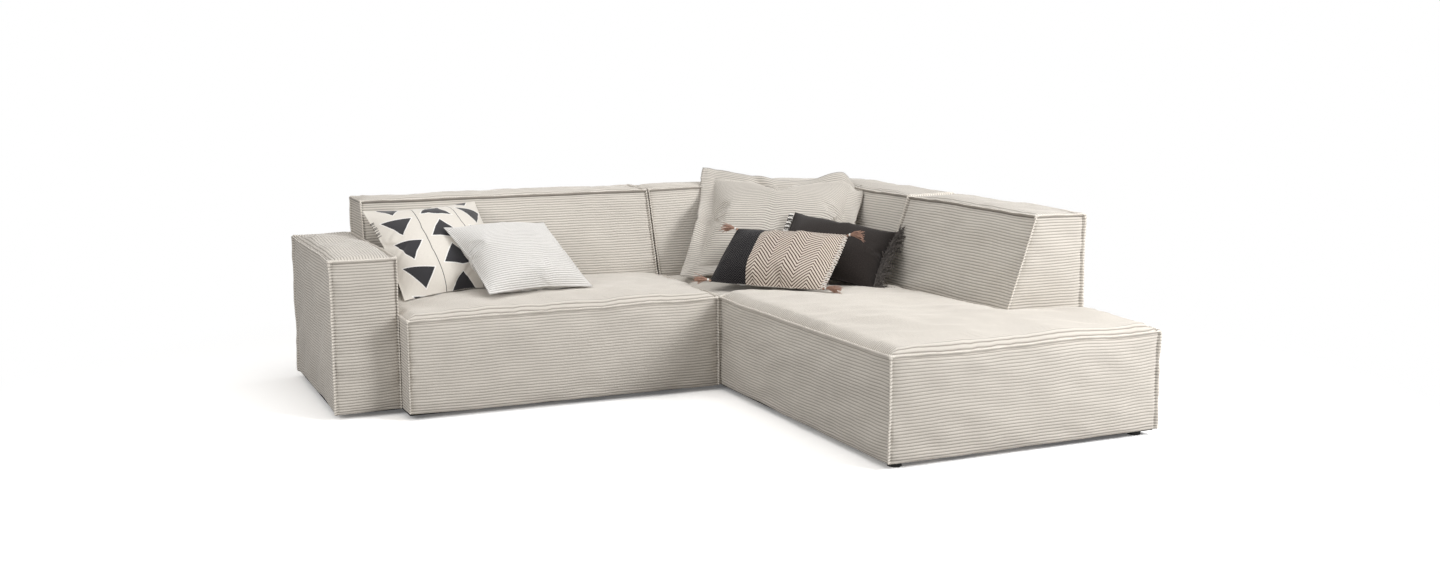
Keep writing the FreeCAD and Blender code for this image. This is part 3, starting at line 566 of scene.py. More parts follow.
def corduroy_material(name, rib_colour, groove_shade_colour, pitch):
    """Corduroy: soft ribs, painted shade in the grooves, a painted shadow at each seam's root and a painted
    highlight on each lip's tip, short pile, faint patches where the pile lies differently.
    """
    _, tree = new_material(name, {"Roughness": 0.92, "Specular IOR Level": 0.12, "Sheen Weight": 0.25,
                                  "Sheen Roughness": 0.45})
    distance = add_node(tree, "ShaderNodeAttribute", attribute_name="across").outputs["Fac"]
    seam = add_node(tree, "ShaderNodeAttribute", attribute_name="seam").outputs["Fac"]
    place_on = add_node(tree, "ShaderNodeTexCoord").outputs["Object"]
    # Painted shade: the grooves between the ribs are coloured darker, as if in shadow.
    groove = calculate(tree, "POWER", rib_swing(tree, distance, pitch), 3.5)
    groove = calculate(tree, "MULTIPLY", groove, calculate(tree, "GREATER_THAN", distance, -0.5))
    patches = noise(tree, place_on, 5.5, 3.0)
    pile = noise(tree, place_on, 420.0, 3.0)
    # Painted shadow at each seam's root, darker still across the grooves, in a near-black made from the
    # groove colour.
    root = calculate(tree, "MULTIPLY", calculate(tree, "MAXIMUM", seam, 0.0),
                     calculate(tree, "MULTIPLY_ADD", groove, 0.62, 0.10))
    base = mixed(tree, groove, rib_colour, groove_shade_colour)
    base = mixed(tree, root, base, [part * 0.18 for part in groove_shade_colour])
    # Painted highlight: the lips' tips, where the seam attribute is negative, are made paler.
    tip = calculate(tree, "MAXIMUM", calculate(tree, "MULTIPLY", seam, -1.0), 0.0)
    value = calculate(tree, "MULTIPLY", calculate(tree, "MULTIPLY_ADD", patches, 0.16, 0.92),
                      calculate(tree, "MULTIPLY_ADD", pile, 0.22, 0.89))
    value = calculate(tree, "MULTIPLY", value, calculate(tree, "MULTIPLY_ADD", tip, 0.30, 1.0))
    colour_and_relief(tree, base, value, pile, 0.35, 0.0012)


def plain_material(name, base, roughness=0.6, metallic=0.0, grain=60.0, stretch=(1, 1, 1), contrast=0.25):
    """A finish with fine grain in its colour, roughness and surface."""
    material, tree = new_material(name, {"Metallic": metallic})
    place_on = add_node(tree, "ShaderNodeTexCoord").outputs["Object"]
    stretched = add_node(tree, "ShaderNodeMapping", {"Scale": stretch, "Vector": place_on})
    specks = noise(tree, stretched.outputs["Vector"], grain, 4.0)
    value = calculate(tree, "MULTIPLY_ADD", specks, contrast, 1 - contrast / 2)
    shader = colour_and_relief(tree, base, value, specks, 0.25, 0.0006)
    rough = calculate(tree, "MULTIPLY_ADD", specks, 0.16, roughness - 0.08)
    tree.links.new(rough, shader.inputs["Roughness"])
    return material


def make_object(name, data):
    obj = bpy.data.objects.new(name, data)
    bpy.context.scene.collection.objects.link(obj)
    return obj


def box_corners(x0, x1, y0, y1, z0, z1):
    return {(i, j, k): ((x0, x1)[i], (y0, y1)[j], (z0, z1)[k]) for i, j, k in CORNERS}


def crown_over(x0, x1, y0, y1, rise, rim=0.35, power=3.2):
    """The height of a padded top over one rectangle: steep beside its seams, nearly level in the middle."""
    def height(base):
        s = np.clip((base[..., 0] - x0) / (x1 - x0) * 2 - 1, -1, 1)
        t = np.clip((base[..., 1] - y0) / (y1 - y0) * 2 - 1, -1, 1)
        side = np.minimum(np.minimum(base[..., 0] - x0, x1 - base[..., 0]),
                          np.minimum(base[..., 1] - y0, y1 - base[..., 1]))
        start = smooth(side / CROWN_START)
        full = (1 - np.abs(s) ** power) * (1 - np.abs(t) ** power)
        return rise * start * (rim + (1 - rim) * full)
    return height


def upholster(name, body, corners, free, bulge, crown, seed, tight, lengthwise=False):
    """Makes a block's closed mesh, raises its ribs and lets it stand for its CAD cover and foam."""
    cloth = bpy.context.scene.cloth_sizes
    block = Block(corners, free, bulge, crown, seed, tight, lengthwise)
    obj = make_object(name + "_upholstery", block.mesh(name, cloth))
    raise_ribs(obj, bpy.data.materials["greige corduroy"], cloth.wale_pitch, cloth.wale_depth)
    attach(obj, body)
    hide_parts(name + "_cover", name + "_foam")


class Planes:
    """The sofa's planes, worked out from its sizes, in metres."""

    def __init__(self, sizes):
        self.left = -sizes.width / 2
        self.right = sizes.width / 2
        self.rear = sizes.depth / 2
        self.front = -sizes.depth / 2
        self.arm_inner = self.left + sizes.arm_width
        self.split = self.arm_inner + sizes.left_seat_width
        self.left_split = self.split - sizes.element_gap / 2
        self.right_split = self.split + sizes.element_gap / 2
        self.seat_front = self.rear - sizes.left_depth
        self.arm_front = self.rear - sizes.arm_depth
        self.face_foot = self.rear - sizes.back_foot
        self.face_top = self.rear - sizes.back_top
        self.side_foot = self.right - sizes.back_foot
        self.side_top = self.right - sizes.back_top
        self.back_start = self.front + sizes.ottoman_setback


class SOFA_OT_materials(bpy.types.Operator):
    """Makes the finishes and gives them to the hidden pieces"""
    bl_idname = "sofa.materials"
    bl_label = "Finishes"

    def execute(self, context):
        colours = context.scene.sofa_colours
        pitch = context.scene.cloth_sizes.wale_pitch
        corduroy_material("greige corduroy", colours.corduroy, colours.groove, pitch)
        finishes = {
            "timber": plain_material("sawn pine", (0.50, 0.34, 0.18), 0.75, grain=18, stretch=(1, 1, 8),
                                     contrast=0.5),
            "foam": plain_material("open-cell foam", (0.80, 0.72, 0.45), 0.95, grain=260),
            "zinc_steel": plain_material("zinc-plated steel", (0.55, 0.56, 0.58), 0.35, metallic=1.0,
                                         grain=90),
            "elastic_belt": plain_material("woven elastic", (0.06, 0.055, 0.05), 0.85, grain=300),
            "black_cloth": plain_material("black underside cloth", (0.012, 0.012, 0.013), 0.95, grain=500),
            "black_plastic": plain_material("matt black plastic", (0.012, 0.012, 0.012), 0.45, grain=220),
            "zip_tape": plain_material("zip tape", (0.50, 0.47, 0.42), 0.6, grain=240),
            "cushion_filling": plain_material("fibre filling", (0.80, 0.80, 0.78), 0.95, grain=120),
        }
        slots = {part["node"]: part["material_slot"] for part in frame["record"]["subparts"]}
        for node, obj in frame["nodes"].items():
            finish = finishes.get(slots.get(node))
            if finish:
                obj.data.materials.clear()
                obj.data.materials.append(finish)
        return {"FINISHED"}


class SOFA_OT_arm(bpy.types.Operator):
    """Upholsters the arm"""
    bl_idname = "sofa.arm"
    bl_label = "Arm"

    def execute(self, context):
        sizes = context.scene.sofa_sizes
        bulge = context.scene.cloth_sizes.side_bulge
        p = Planes(sizes)
        upholster("arm", "left_element",
                  box_corners(p.left, p.arm_inner, p.arm_front, p.rear, sizes.floor_gap, sizes.arm_height),
                  free={"front": 1, "rear": 1, "left": 1, "top": 1},
                  bulge={"front": bulge, "rear": bulge, "left": bulge},
                  crown=crown_over(p.left, p.arm_inner, p.arm_front, p.rear, sizes.arm_crown),
                  seed=11, tight=("right",), lengthwise=True)
        return {"FINISHED"}


class SOFA_OT_seats(bpy.types.Operator):
    """Upholsters the left seat, the corner seat and the ottoman"""
    bl_idname = "sofa.seats"
    bl_label = "Seats"

    def execute(self, context):
        sizes = context.scene.sofa_sizes
        bulge = context.scene.cloth_sizes.side_bulge
        p = Planes(sizes)
        levels = sizes.floor_gap, sizes.seat_height
        upholster("left_seat", "left_element",
                  box_corners(p.arm_inner, p.left_split, p.seat_front, p.rear, *levels),
                  free={"front": 1, "rear": 1, "top": 1}, bulge={"front": bulge, "rear": bulge},
                  crown=crown_over(p.arm_inner, p.left_split, p.seat_front, p.face_foot, sizes.left_crown,
                                   rim=0.5),
                  seed=31, tight=("left", "right"))
        upholster("corner_seat", "right_element",
                  box_corners(p.right_split, p.right, p.seat_front, p.rear, *levels),
                  free={"right": 1, "rear": 1, "top": 1}, bulge={"right": bulge, "rear": bulge},
                  crown=crown_over(p.right_split, p.side_foot, p.seat_front, p.face_foot, sizes.corner_crown),
                  seed=51, tight=("left", "front"))
        whole = crown_over(p.right_split, p.right, p.front, p.seat_front, sizes.ottoman_crown, rim=0.55)

        def ottoman_crown(base):
            """The ottoman's crown, which ends where its back stands."""
            inside = smooth((base[..., 0] - p.side_foot + CROWN_END) / CROWN_END)
            behind = smooth((base[..., 1] - p.back_start + CROWN_END) / CROWN_END)
            return whole(base) * (1 - inside * behind)

        upholster("ottoman", "right_element",
                  box_corners(p.right_split, p.right, p.front, p.seat_front, *levels),
                  free={"front": 1, "left": 1, "right": 1, "top": 1},
                  bulge={"front": bulge, "left": bulge, "right": bulge}, crown=ottoman_crown,
                  seed=71, tight=("rear",))
        return {"FINISHED"}


class SOFA_OT_backs(bpy.types.Operator):
    """Upholsters the four backs"""
    bl_idname = "sofa.backs"
    bl_label = "Backs"

    def execute(self, context):
        sizes = context.scene.sofa_sizes
        cloth = context.scene.cloth_sizes
        p = Planes(sizes)
        levels = sizes.seat_height + BACK_LIFT, sizes.back_height
        gap = 0.0005
        face_x, face_y = (p.side_foot, p.side_top), (p.face_foot, p.face_top)
        ends = p.back_start, p.seat_front - gap
        side, face = cloth.side_bulge, cloth.face_bulge

        def corners(x, y):
            """A back's corners from its places across and along, each a function of side, depth and level."""
            return {(i, j, k): (x(i, j, k), y(i, j, k), levels[k]) for i, j, k in CORNERS}

        def rear_y(i, j, k):
            return p.rear if j else face_y[k]

        def flank_x(i, j, k):
            return p.right if i else face_x[k]

        def crown(*area):
            return crown_over(*area, sizes.back_crown, rim=0.5, power=3.5)

        upholster("left_back", "left_element",
                  corners(lambda i, j, k: (p.arm_inner, p.left_split)[i], rear_y),
                  free={"front": 1, "rear": 1, "left": 0.7, "top": 1, "right": 0.15},
                  bulge={"front": face, "rear": side},
                  crown=crown(p.arm_inner, p.left_split, p.face_top, p.rear),
                  seed=91, tight=("left", "right", "bottom"))
        upholster("corner_rear_back", "right_element",
                  corners(lambda i, j, k: (p.right if j else face_x[k]) - gap if i else p.right_split,
                          rear_y),
                  free={"front": 1, "rear": 1, "top": 1, "left": 0.15, "right": 0.1},
                  bulge={"front": face, "rear": side},
                  crown=crown(p.right_split, p.right, p.face_top, p.rear),
                  seed=111, tight=("left", "right", "bottom"))
        upholster("corner_side_back", "right_element",
                  corners(flank_x,
                          lambda i, j, k: (p.rear if i else face_y[k]) - gap if j else p.seat_front + gap),
                  free={"left": 1, "right": 1, "top": 1, "front": 0.1, "rear": 0.1},
                  bulge={"left": face, "right": side}, crown=crown(p.side_top, p.right, p.seat_front, p.rear),
                  seed=131, tight=("front", "rear", "bottom"), lengthwise=True)
        upholster("ottoman_back", "right_element", corners(flank_x, lambda i, j, k: ends[j]),
                  free={"left": 1, "right": 1, "top": 1, "front": 1, "rear": 0.1},
                  bulge={"left": face, "right": side, "front": 0.006},
                  crown=crown(p.side_top, p.right, *ends),
                  seed=151, tight=("rear", "bottom"), lengthwise=True)
        return {"FINISHED"}


def pillow_form(size, columns, rows, fullness, draw):
    """Front and back grids of a pillow standing in XZ, with sides drawn in between its corners."""
    width, height, thickness = size
    u, v = np.meshgrid(np.linspace(-1, 1, columns), np.linspace(-1, 1, rows))
    x = u * (width / 2 - 0.6 * draw * (1 - v ** 2))
    z = v * (height / 2 - draw * (1 - u ** 2))
    rise = fullness * thickness / 2 * (1 - np.abs(u) ** 3.0) * (1 - np.abs(v) ** 2.6)
    return np.stack([x, -rise, z], axis=-1), np.stack([x, rise, z], axis=-1)


def sheet_ids(rows, columns):
    """Vertex numbers of two grids that share their outer ring."""
    front = np.arange(rows * columns).reshape(rows, columns)
    back = front.copy()
    back[1:-1, 1:-1] = rows * columns + np.arange((rows - 2) * (columns - 2)).reshape(rows - 2, columns - 2)
    return front, back


def sheet_mesh(name, front, back):
    """A closed mesh of two grids that are joined along their outer ring."""
    ids, back_ids = sheet_ids(*front.shape[:2])
    points = np.concatenate([front.reshape(-1, 3), back[1:-1, 1:-1].reshape(-1, 3)])
    mesh = bpy.data.meshes.new(name)
    mesh.from_pydata(points.tolist(), [], grid_faces(ids) + grid_faces(back_ids, (3, 2, 1, 0)))
    return mesh


def inflate(front, back):
    """Blows two joined sheets up as cloth and returns them as they then lie."""
    obj = make_object("inflating", sheet_mesh("inflating", front, back))
    cloth = obj.modifiers.new("cloth", "CLOTH")
    for label, value in CLOTH_SETTINGS.items():
        setattr(cloth.settings, label, value)
    cloth.settings.effector_weights.gravity = 0
    cloth.collision_settings.use_collision = False
    cloth.point_cache.frame_start = 1
    cloth.point_cache.frame_end = CLOTH_FRAMES
    scene = bpy.context.scene
    for step in range(1, CLOTH_FRAMES + 1):
        scene.frame_set(step)
    graph = bpy.context.evaluated_depsgraph_get()
    points = np.empty(len(obj.data.vertices) * 3, np.float32)
    obj.evaluated_get(graph).data.vertices.foreach_get("co", points)
    points = points.reshape(-1, 3).astype(float)
    bpy.data.objects.remove(obj)
    scene.frame_set(1)
    return [points[ids] for ids in sheet_ids(*front.shape[:2])]


def fitted(front, back, size):
    """Scales two sheets about their middle to a width, a height and a thickness."""
    both = np.concatenate([front.reshape(-1, 3), back.reshape(-1, 3)])
    low, high = both.min(axis=0), both.max(axis=0)
    scale = np.array([size[0], size[2], size[1]]) / (high - low)
    middle = (low + high) / 2
    return (front - middle) * scale, (back - middle) * scale


def trued(sheet, form, kept=0.25):
    """Stretches a simulated sheet sideways and upwards until its edges nearly follow those of the form."""
    result = sheet.copy()
    for axis, ends in ((0, (np.s_[:, :1], np.s_[:, -1:])), (2, (np.s_[:1, :], np.s_[-1:, :]))):
        low, high = sheet[ends[0]][..., axis], sheet[ends[1]][..., axis]
        wanted_low = form[ends[0]][..., axis] * (1 - kept) + low * kept
        wanted_high = form[ends[1]][..., axis] * (1 - kept) + high * kept
        share = (sheet[..., axis] - low) / (high - low)
        result[..., axis] = wanted_low + share * (wanted_high - wanted_low)
    return result


def spline_weights(count, marks):
    """How much each of count evenly spaced points adds at each mark between 0 and 1."""
    place_on = np.clip(marks, 0, 1) * (count - 1)
    first = np.minimum(place_on.astype(int), count - 2)
    f = place_on - first
    parts = ((-f + 2 * f ** 2 - f ** 3) / 2, (2 - 5 * f ** 2 + 3 * f ** 3) / 2,
             (f + 4 * f ** 2 - 3 * f ** 3) / 2, (f ** 3 - f ** 2) / 2)
    weights = np.zeros((len(marks), count))
    for shift, part in zip((-1, 0, 1, 2), parts):
        np.add.at(weights, (np.arange(len(marks)), np.clip(first + shift, 0, count - 1)), part)
    return weights


def resampled(sheet, across_marks, up_marks):
    rows, columns = sheet.shape[:2]
    up = spline_weights(rows, up_marks)
    across = spline_weights(columns, across_marks)
    return np.einsum("ri,ijk,cj->rck", up, sheet, across)


def widened(front, back, reach, half, steps):
    """Adds a flat rim of two sheets around a pillow's edge; they meet in its outer ring."""
    result = []
    out = np.linspace(1, 0, steps, endpoint=False) * reach
    for sheet, side in ((front, -1), (back, 1)):
        grown = np.pad(sheet, ((steps, steps), (steps, steps), (0, 0)), mode="edge")
        rows, columns = grown.shape[:2]
        sideways = np.zeros(columns)
        upwards = np.zeros(rows)
        sideways[:steps], sideways[-steps:] = -out, out[::-1]
        upwards[:steps], upwards[-steps:] = -out, out[::-1]
        grown[..., 0] += sideways[None, :]
        grown[..., 2] += upwards[:, None]
        thick = np.zeros((rows, columns))
        thick[1:-1, 1:-1] = 1
        thick[steps + 1:-steps - 1, steps + 1:-steps - 1] = 0
        grown[..., 1] += side * half * thick
        result.append(grown)
    return result


def support_trees(names):
    graph = bpy.context.evaluated_depsgraph_get()
    return [BVHTree.FromObject(bpy.data.objects[name], graph) for name in names]


def is_inside(tree, point):
    """Whether a point lies in a closed form: the first faces above and beside it are seen from within."""
    for direction in (Vector((0.02, 0.03, 1)), Vector((0.7, 0.6, 0.4))):
        hit, normal, _, _ = tree.ray_cast(point, direction)
        if hit is None or normal.dot(direction) < 0:
            return False
    return True


def pushed_out(points, trees, clearance, reach=0.09):
    """Moves points that lie in a support, or nearly touch it, out to its surface."""
    flat = points.reshape(-1, 3).copy()
    for tree in trees:
        for index, point in enumerate(flat):
            here = Vector(point)
            hit, normal, _, distance = tree.find_nearest(here, reach)
            if hit is None:
                continue
            if is_inside(tree, here):
                flat[index] = hit + normal * clearance
            elif distance < clearance and distance > 1e-6:
                flat[index] = hit + (here - hit) * (clearance / distance)
    return flat.reshape(points.shape)


def blurred(values):
    grown = np.pad(values, ((1, 1), (1, 1), (0, 0)), mode="edge")
    return (2 * values + grown[:-2, 1:-1] + grown[2:, 1:-1] + grown[1:-1, :-2] + grown[1:-1, 2:]) / 6


def rest_on(front, back, trees, sink, clearance):
    """Lets a cushion sink a little and flattens it where it meets what carries it."""
    down = np.array([0, 0, -sink])
    result = []
    for sheet in (front, back):
        lowered = sheet + down
        moved = pushed_out(lowered, trees, clearance) - lowered
        for _ in range(3):
            moved = np.where(np.abs(moved) > np.abs(blurred(moved)), moved, blurred(moved))
        result.append(pushed_out(lowered + moved, trees, clearance))
    ring = (result[0] + result[1]) / 2
    for sheet in result:
        sheet[[0, -1], :] = ring[[0, -1], :]
        sheet[:, [0, -1]] = ring[:, [0, -1]]
    return result


class Cushion:
    """A loose cushion from its sizes: simulated, settled on its supports and turned into one closed mesh."""

    def __init__(self, key, fullness=0.72, simulated=0.6, slack=1.025, plump=1.0, draw=0.016):
        values = getattr(bpy.context.scene, key)
        self.key = key
        self.size = tuple(values.size)
        full = (self.size[0], self.size[1], self.size[2] * plump)
        self.middle = np.array(values.middle)
        facing, lean, roll = values.turn
        upright = Matrix.Rotation(-facing, 3, "Z") @ Matrix.Rotation(-lean, 3, "X")
        self.spin = np.array(upright @ Matrix.Rotation(-roll, 3, "Y"))
        columns, rows = [int(round(side / SHEET_SPACING)) | 1 for side in self.size[:2]]
        front, back = pillow_form(full, columns, rows, 1.0, draw)
        loose = (full[0] * slack, full[1] * slack, full[2])
        blown = fitted(*inflate(*pillow_form(loose, columns, rows, fullness, draw)), full)
        front = front + simulated * (trued(blown[0], front) - front)
        back = back + simulated * (trued(blown[1], back) - back)
        self.front, self.back = fitted(front, back, full)

    def refine(self, rib_pitch=None, spacing=0.006, rim=0.003, half=0.0011, steps=1):
        """Samples the sheets finely, four rows to each rib where it is ribbed, and adds the rim."""
        width, height = self.size[:2]
        across_marks = np.linspace(0, 1, int(round(width / (RIB_STEP if rib_pitch else spacing))) + 1)
        if rib_pitch:
            up_marks = rib_marks(round(height / rib_pitch))
        else:
            up_marks = np.linspace(0, 1, int(round(height / spacing)) + 1)
        front, back = [resampled(sheet, across_marks, up_marks) for sheet in (self.front, self.back)]
        self.front, self.back = widened(front, back, rim, half, steps)
        outer = np.linspace(1, 0, steps, endpoint=False) * rim
        x, z = [np.concatenate([-outer, marks * side, side + outer[::-1]]) - side / 2
                for marks, side in ((across_marks, width), (up_marks, height))]
        self.cloth_x, self.cloth_z = np.meshgrid(x, z)

    def set_down(self, supports, sink=0.006, clearance=0.002):
        self.trees = support_trees(supports)
        self.front, self.back = [sheet @ self.spin.T + self.middle for sheet in (self.front, self.back)]
        self.front, self.back = rest_on(self.front, self.back, self.trees, sink, clearance)

    def outwards(self, direction):
        return np.array(direction, float) @ self.spin.T

    def finish(self, material, slot, ribs=None):
        """Makes the closed mesh in its cloth, which stands for the CAD cover and filling."""
        mesh = sheet_mesh(self.key, self.front, self.back)
        x, z = [np.concatenate([grid.ravel(), grid[1:-1, 1:-1].ravel()])
                for grid in (self.cloth_x, self.cloth_z)]
        mark_points(mesh, "cloth", np.stack([x, z, 0 * x], axis=-1))
        mark_points(mesh, "across", z + 10 * (ribs or 1))
        obj = make_object(self.key + "_form", mesh)
        cloth = bpy.data.materials[material]
        if ribs:
            sizes = bpy.context.scene.cloth_sizes
            raise_ribs(obj, cloth, ribs, sizes.wale_depth * ribs / sizes.wale_pitch * CUSHION_RIB_DEPTH)
        else:
            mesh.polygons.foreach_set("use_smooth", [True] * len(mesh.polygons))
            mesh.materials.append(cloth)
        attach(obj, self.key)
        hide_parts(self.key + "_cover", self.key + "_filling")


def yarn_tree(label, values):
    """Sweeps a round yarn along every line of a mesh."""
    tree, given, result = node_tree(label, values)
    curve = add_node(tree, "GeometryNodeMeshToCurve", {"Mesh": given.outputs["Geometry"]})
    circle = add_node(tree, "GeometryNodeCurvePrimitiveCircle", {"Resolution": 6,
                                                                 "Radius": given.outputs["Yarn radius"]})
    sweep = add_node(tree, "GeometryNodeCurveToMesh", {"Fill Caps": True, "Curve": curve.outputs["Curve"],
                                                       "Profile Curve": circle.outputs["Curve"]})
    end_tree(tree, sweep.outputs["Mesh"], given.outputs["Yarn"], result)
    return tree


def make_yarns(name, lines, radius, material, body, replaced=()):
    """One object of round yarns along the given lines of points."""
    points, edges = [], []
    for line in lines:
        start = len(points)
        points += [tuple(point) for point in line]
        edges += [(start + step, start + step + 1) for step in range(len(line) - 1)]
    mesh = bpy.data.meshes.new(name)
    mesh.from_pydata(points, edges, [])
    obj = make_object(name, mesh)
    run_tree(obj, "Yarn", yarn_tree, {"Yarn radius": radius, "Yarn": bpy.data.materials[material]})
    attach(obj, body)
    if replaced:
        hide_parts(*replaced)


def woven_material(name, pattern, slub, sheen=0.3):
    """A plain weave with uneven yarns; pattern gives its colour and relief from the cloth's coordinates."""
    _, tree = new_material(name, {"Roughness": 0.9, "Specular IOR Level": 0.15, "Sheen Weight": sheen,
                                  "Sheen Roughness": 0.5})
    cloth = add_node(tree, "ShaderNodeAttribute", attribute_name="cloth").outputs["Vector"]
    parts = add_node(tree, "ShaderNodeSeparateXYZ", {"Vector": cloth})
    yarns = []
    for stretch in ((0.12, 1, 1), (1, 0.12, 1)):
        stretched = add_node(tree, "ShaderNodeMapping", {"Scale": stretch, "Vector": cloth})
        yarns.append(noise(tree, stretched.outputs["Vector"], 620))
    weave = calculate(tree, "MULTIPLY", calculate(tree, "ADD", *yarns), 0.5)
    base, relief = pattern(tree, parts.outputs["X"], parts.outputs["Y"])
    height = calculate(tree, "MULTIPLY_ADD", relief, 1.6, weave) if relief else weave
    value = calculate(tree, "MULTIPLY_ADD", weave, slub * 2, 1 - slub)
    colour_and_relief(tree, base, value, height, 0.5, 0.0012)


def triangle_pattern(tree, x, z):
    """Three columns of triangles between thin lines; the middle ones point upwards."""
    width, height, pitch = 0.495, 0.540, 0.140
    half_base, tall, outline = 0.36, 0.72, 0.028
    columns = calculate(tree, "MAXIMUM", calculate(tree, "MULTIPLY_ADD", x, 3 / width, 1.40), 0.02)
    column = calculate(tree, "FLOOR", columns)
    part = calculate(tree, "ADD", calculate(tree, "FRACT", columns), -0.5)
    flip = calculate(tree, "MULTIPLY_ADD", calculate(tree, "MODULO", column, 2.0), -2.0, 1.0)
    rows = calculate(tree, "MULTIPLY_ADD", z, 1 / pitch, height / 2 / pitch + 0.92)
    rows = calculate(tree, "MULTIPLY_ADD", column, 0.33, rows)
    lean = calculate(tree, "MULTIPLY_ADD", column, -0.12, 0.30)
    rows = calculate(tree, "MULTIPLY_ADD", part, lean, rows)
    row = calculate(tree, "MULTIPLY", calculate(tree, "ADD", calculate(tree, "FRACT", rows), -0.5), flip)
    rise = calculate(tree, "MULTIPLY_ADD", row, 1 / tall, 0.5)
    sideways = calculate(tree, "ABSOLUTE", part)
    inside = calculate(tree, "SUBTRACT", calculate(tree, "MULTIPLY", rise, half_base), sideways)
    below_top = calculate(tree, "MULTIPLY_ADD", row, -0.8, tall / 2 * 0.8)
    depth = calculate(tree, "MINIMUM", inside, below_top)
    filled = calculate(tree, "GREATER_THAN", depth, 0.0)
    outlined = calculate(tree, "GREATER_THAN", depth, -outline)
    line = calculate(tree, "GREATER_THAN", sideways, 0.491)
    cream = mixed(tree, outlined, (0.74, 0.70, 0.64), (0.86, 0.84, 0.81))
    cream = mixed(tree, line, cream, (0.10, 0.09, 0.09))
    return mixed(tree, filled, cream, (0.035, 0.034, 0.038)), filled


def zigzag(tree, x, z, band, pitch, share):
    """Herringbone lines: their slope turns over from one upright band to the next."""
    swing = calculate(tree, "PINGPONG", calculate(tree, "ADD", x, 4 * band), band)
    along = calculate(tree, "MULTIPLY_ADD", calculate(tree, "SUBTRACT", z, swing), 1 / pitch, 40.0)
    return calculate(tree, "LESS_THAN", calculate(tree, "FRACT", along), share)


def herringbone_pattern(tree, x, z):
    """One third black with fine light lines, the rest cream with wide brown ones."""
    black = calculate(tree, "LESS_THAN", x, -0.094)
    wide = zigzag(tree, x, z, 0.060, 0.0150, 0.40)
    fine = zigzag(tree, x, z, 0.024, 0.0100, 0.22)
    flecks = calculate(tree, "FRACT", calculate(tree, "MULTIPLY", x, 1 / 0.0045))
    fine = calculate(tree, "MULTIPLY", fine, calculate(tree, "GREATER_THAN", flecks, 0.4))
    light = mixed(tree, wide, (0.62, 0.55, 0.48), (0.075, 0.040, 0.030))
    dark = mixed(tree, fine, (0.007, 0.006, 0.008), (0.11, 0.105, 0.10))
    return mixed(tree, black, light, dark), calculate(tree, "SUBTRACT", 1.0, wide)


def charcoal_pattern(tree, x, z):
    """Charcoal with paler flecks of wool."""
    place_in = add_node(tree, "ShaderNodeCombineXYZ", {"X": x, "Y": z}).outputs["Vector"]
    share = calculate(tree, "MULTIPLY", calculate(tree, "POWER", noise(tree, place_in, 300), 3.0), 1.4)
    return mixed(tree, share, (0.012, 0.009, 0.008), (0.060, 0.050, 0.046)), None


class SOFA_OT_cushion_cloths(bpy.types.Operator):
    """Makes the loose cushions' cloths and yarns"""
    bl_idname = "sofa.cushion_cloths"
    bl_label = "Cushion cloths"

    def execute(self, context):
        woven_material("cream canvas with triangles", triangle_pattern, slub=0.16)
        woven_material("herringbone wool", herringbone_pattern, slub=0.22, sheen=0.05)
        woven_material("charcoal wool", charcoal_pattern, slub=0.35, sheen=0.10)
        colours = context.scene.sofa_colours
        # Painted shade: a darker copy of the sofa's corduroy for the large cushion, with still darker painted
        # shade in its grooves.
        corduroy_material("shaded corduroy", [part * 0.93 for part in colours.corduroy],
                          [part * 0.5 for part in colours.groove], context.scene.cloth_sizes.wale_pitch)
        # Its groove colour is painted shade in the grooves, as on the sofa's corduroy.
        corduroy_material("white corduroy", (0.76, 0.745, 0.725), (0.30, 0.285, 0.265), WHITE_PITCH)
        plain_material("dark yarn", (0.040, 0.035, 0.033), 0.9, grain=500, contrast=0.6)
        plain_material("fringe yarn", (0.12, 0.108, 0.100), 0.9, grain=90, contrast=1.2)
        plain_material("white yarn", (0.80, 0.78, 0.74), 0.9, grain=500, contrast=0.3)
        plain_material("brown yarn", (0.40, 0.245, 0.185), 0.9, grain=110, contrast=1.1)
        return {"FINISHED"}


SEATS = ["left_seat_upholstery", "corner_seat_upholstery", "ottoman_upholstery"]
CORNER_BACKS = ["left_back_upholstery", "corner_rear_back_upholstery", "corner_side_back_upholstery",
                "ottoman_back_upholstery"]


def edge_stitches(cushion, column, low, high, pitch, reach):
    """Stitches that go over a cushion's upright edge, from its front to its back."""
    inner = column + (reach if column == 0 else -reach)
    heights = cushion.cloth_z[:, column]
    lines = []
    for level in np.arange(low, high, pitch):
        row = int(np.argmin(np.abs(heights - level)))
        start = cushion.front[row, inner]
        edge = cushion.front[row, column]
        end = cushion.back[row, inner]
        outward = unit(edge - (start + end) / 2) * 0.0012
        facing = unit(cushion.outwards((0, -1, 0)))
        lines.append([start - facing * 0.001, start + facing * 0.0012, (start + edge) / 2 + facing * 0.0016,
                      edge + outward, (end + edge) / 2 - facing * 0.0016, end - facing * 0.0012,
                      end + facing * 0.001])
    return lines


# Pitch, radius and steps of a zip's coil, and half the width and a fifth of the length of its pull
COIL_PITCH, COIL_RADIUS, COIL_STEP = 0.0022, 0.0016, 0.0003
PULL_WIDTH, PULL_STEP = 0.0022, 0.004


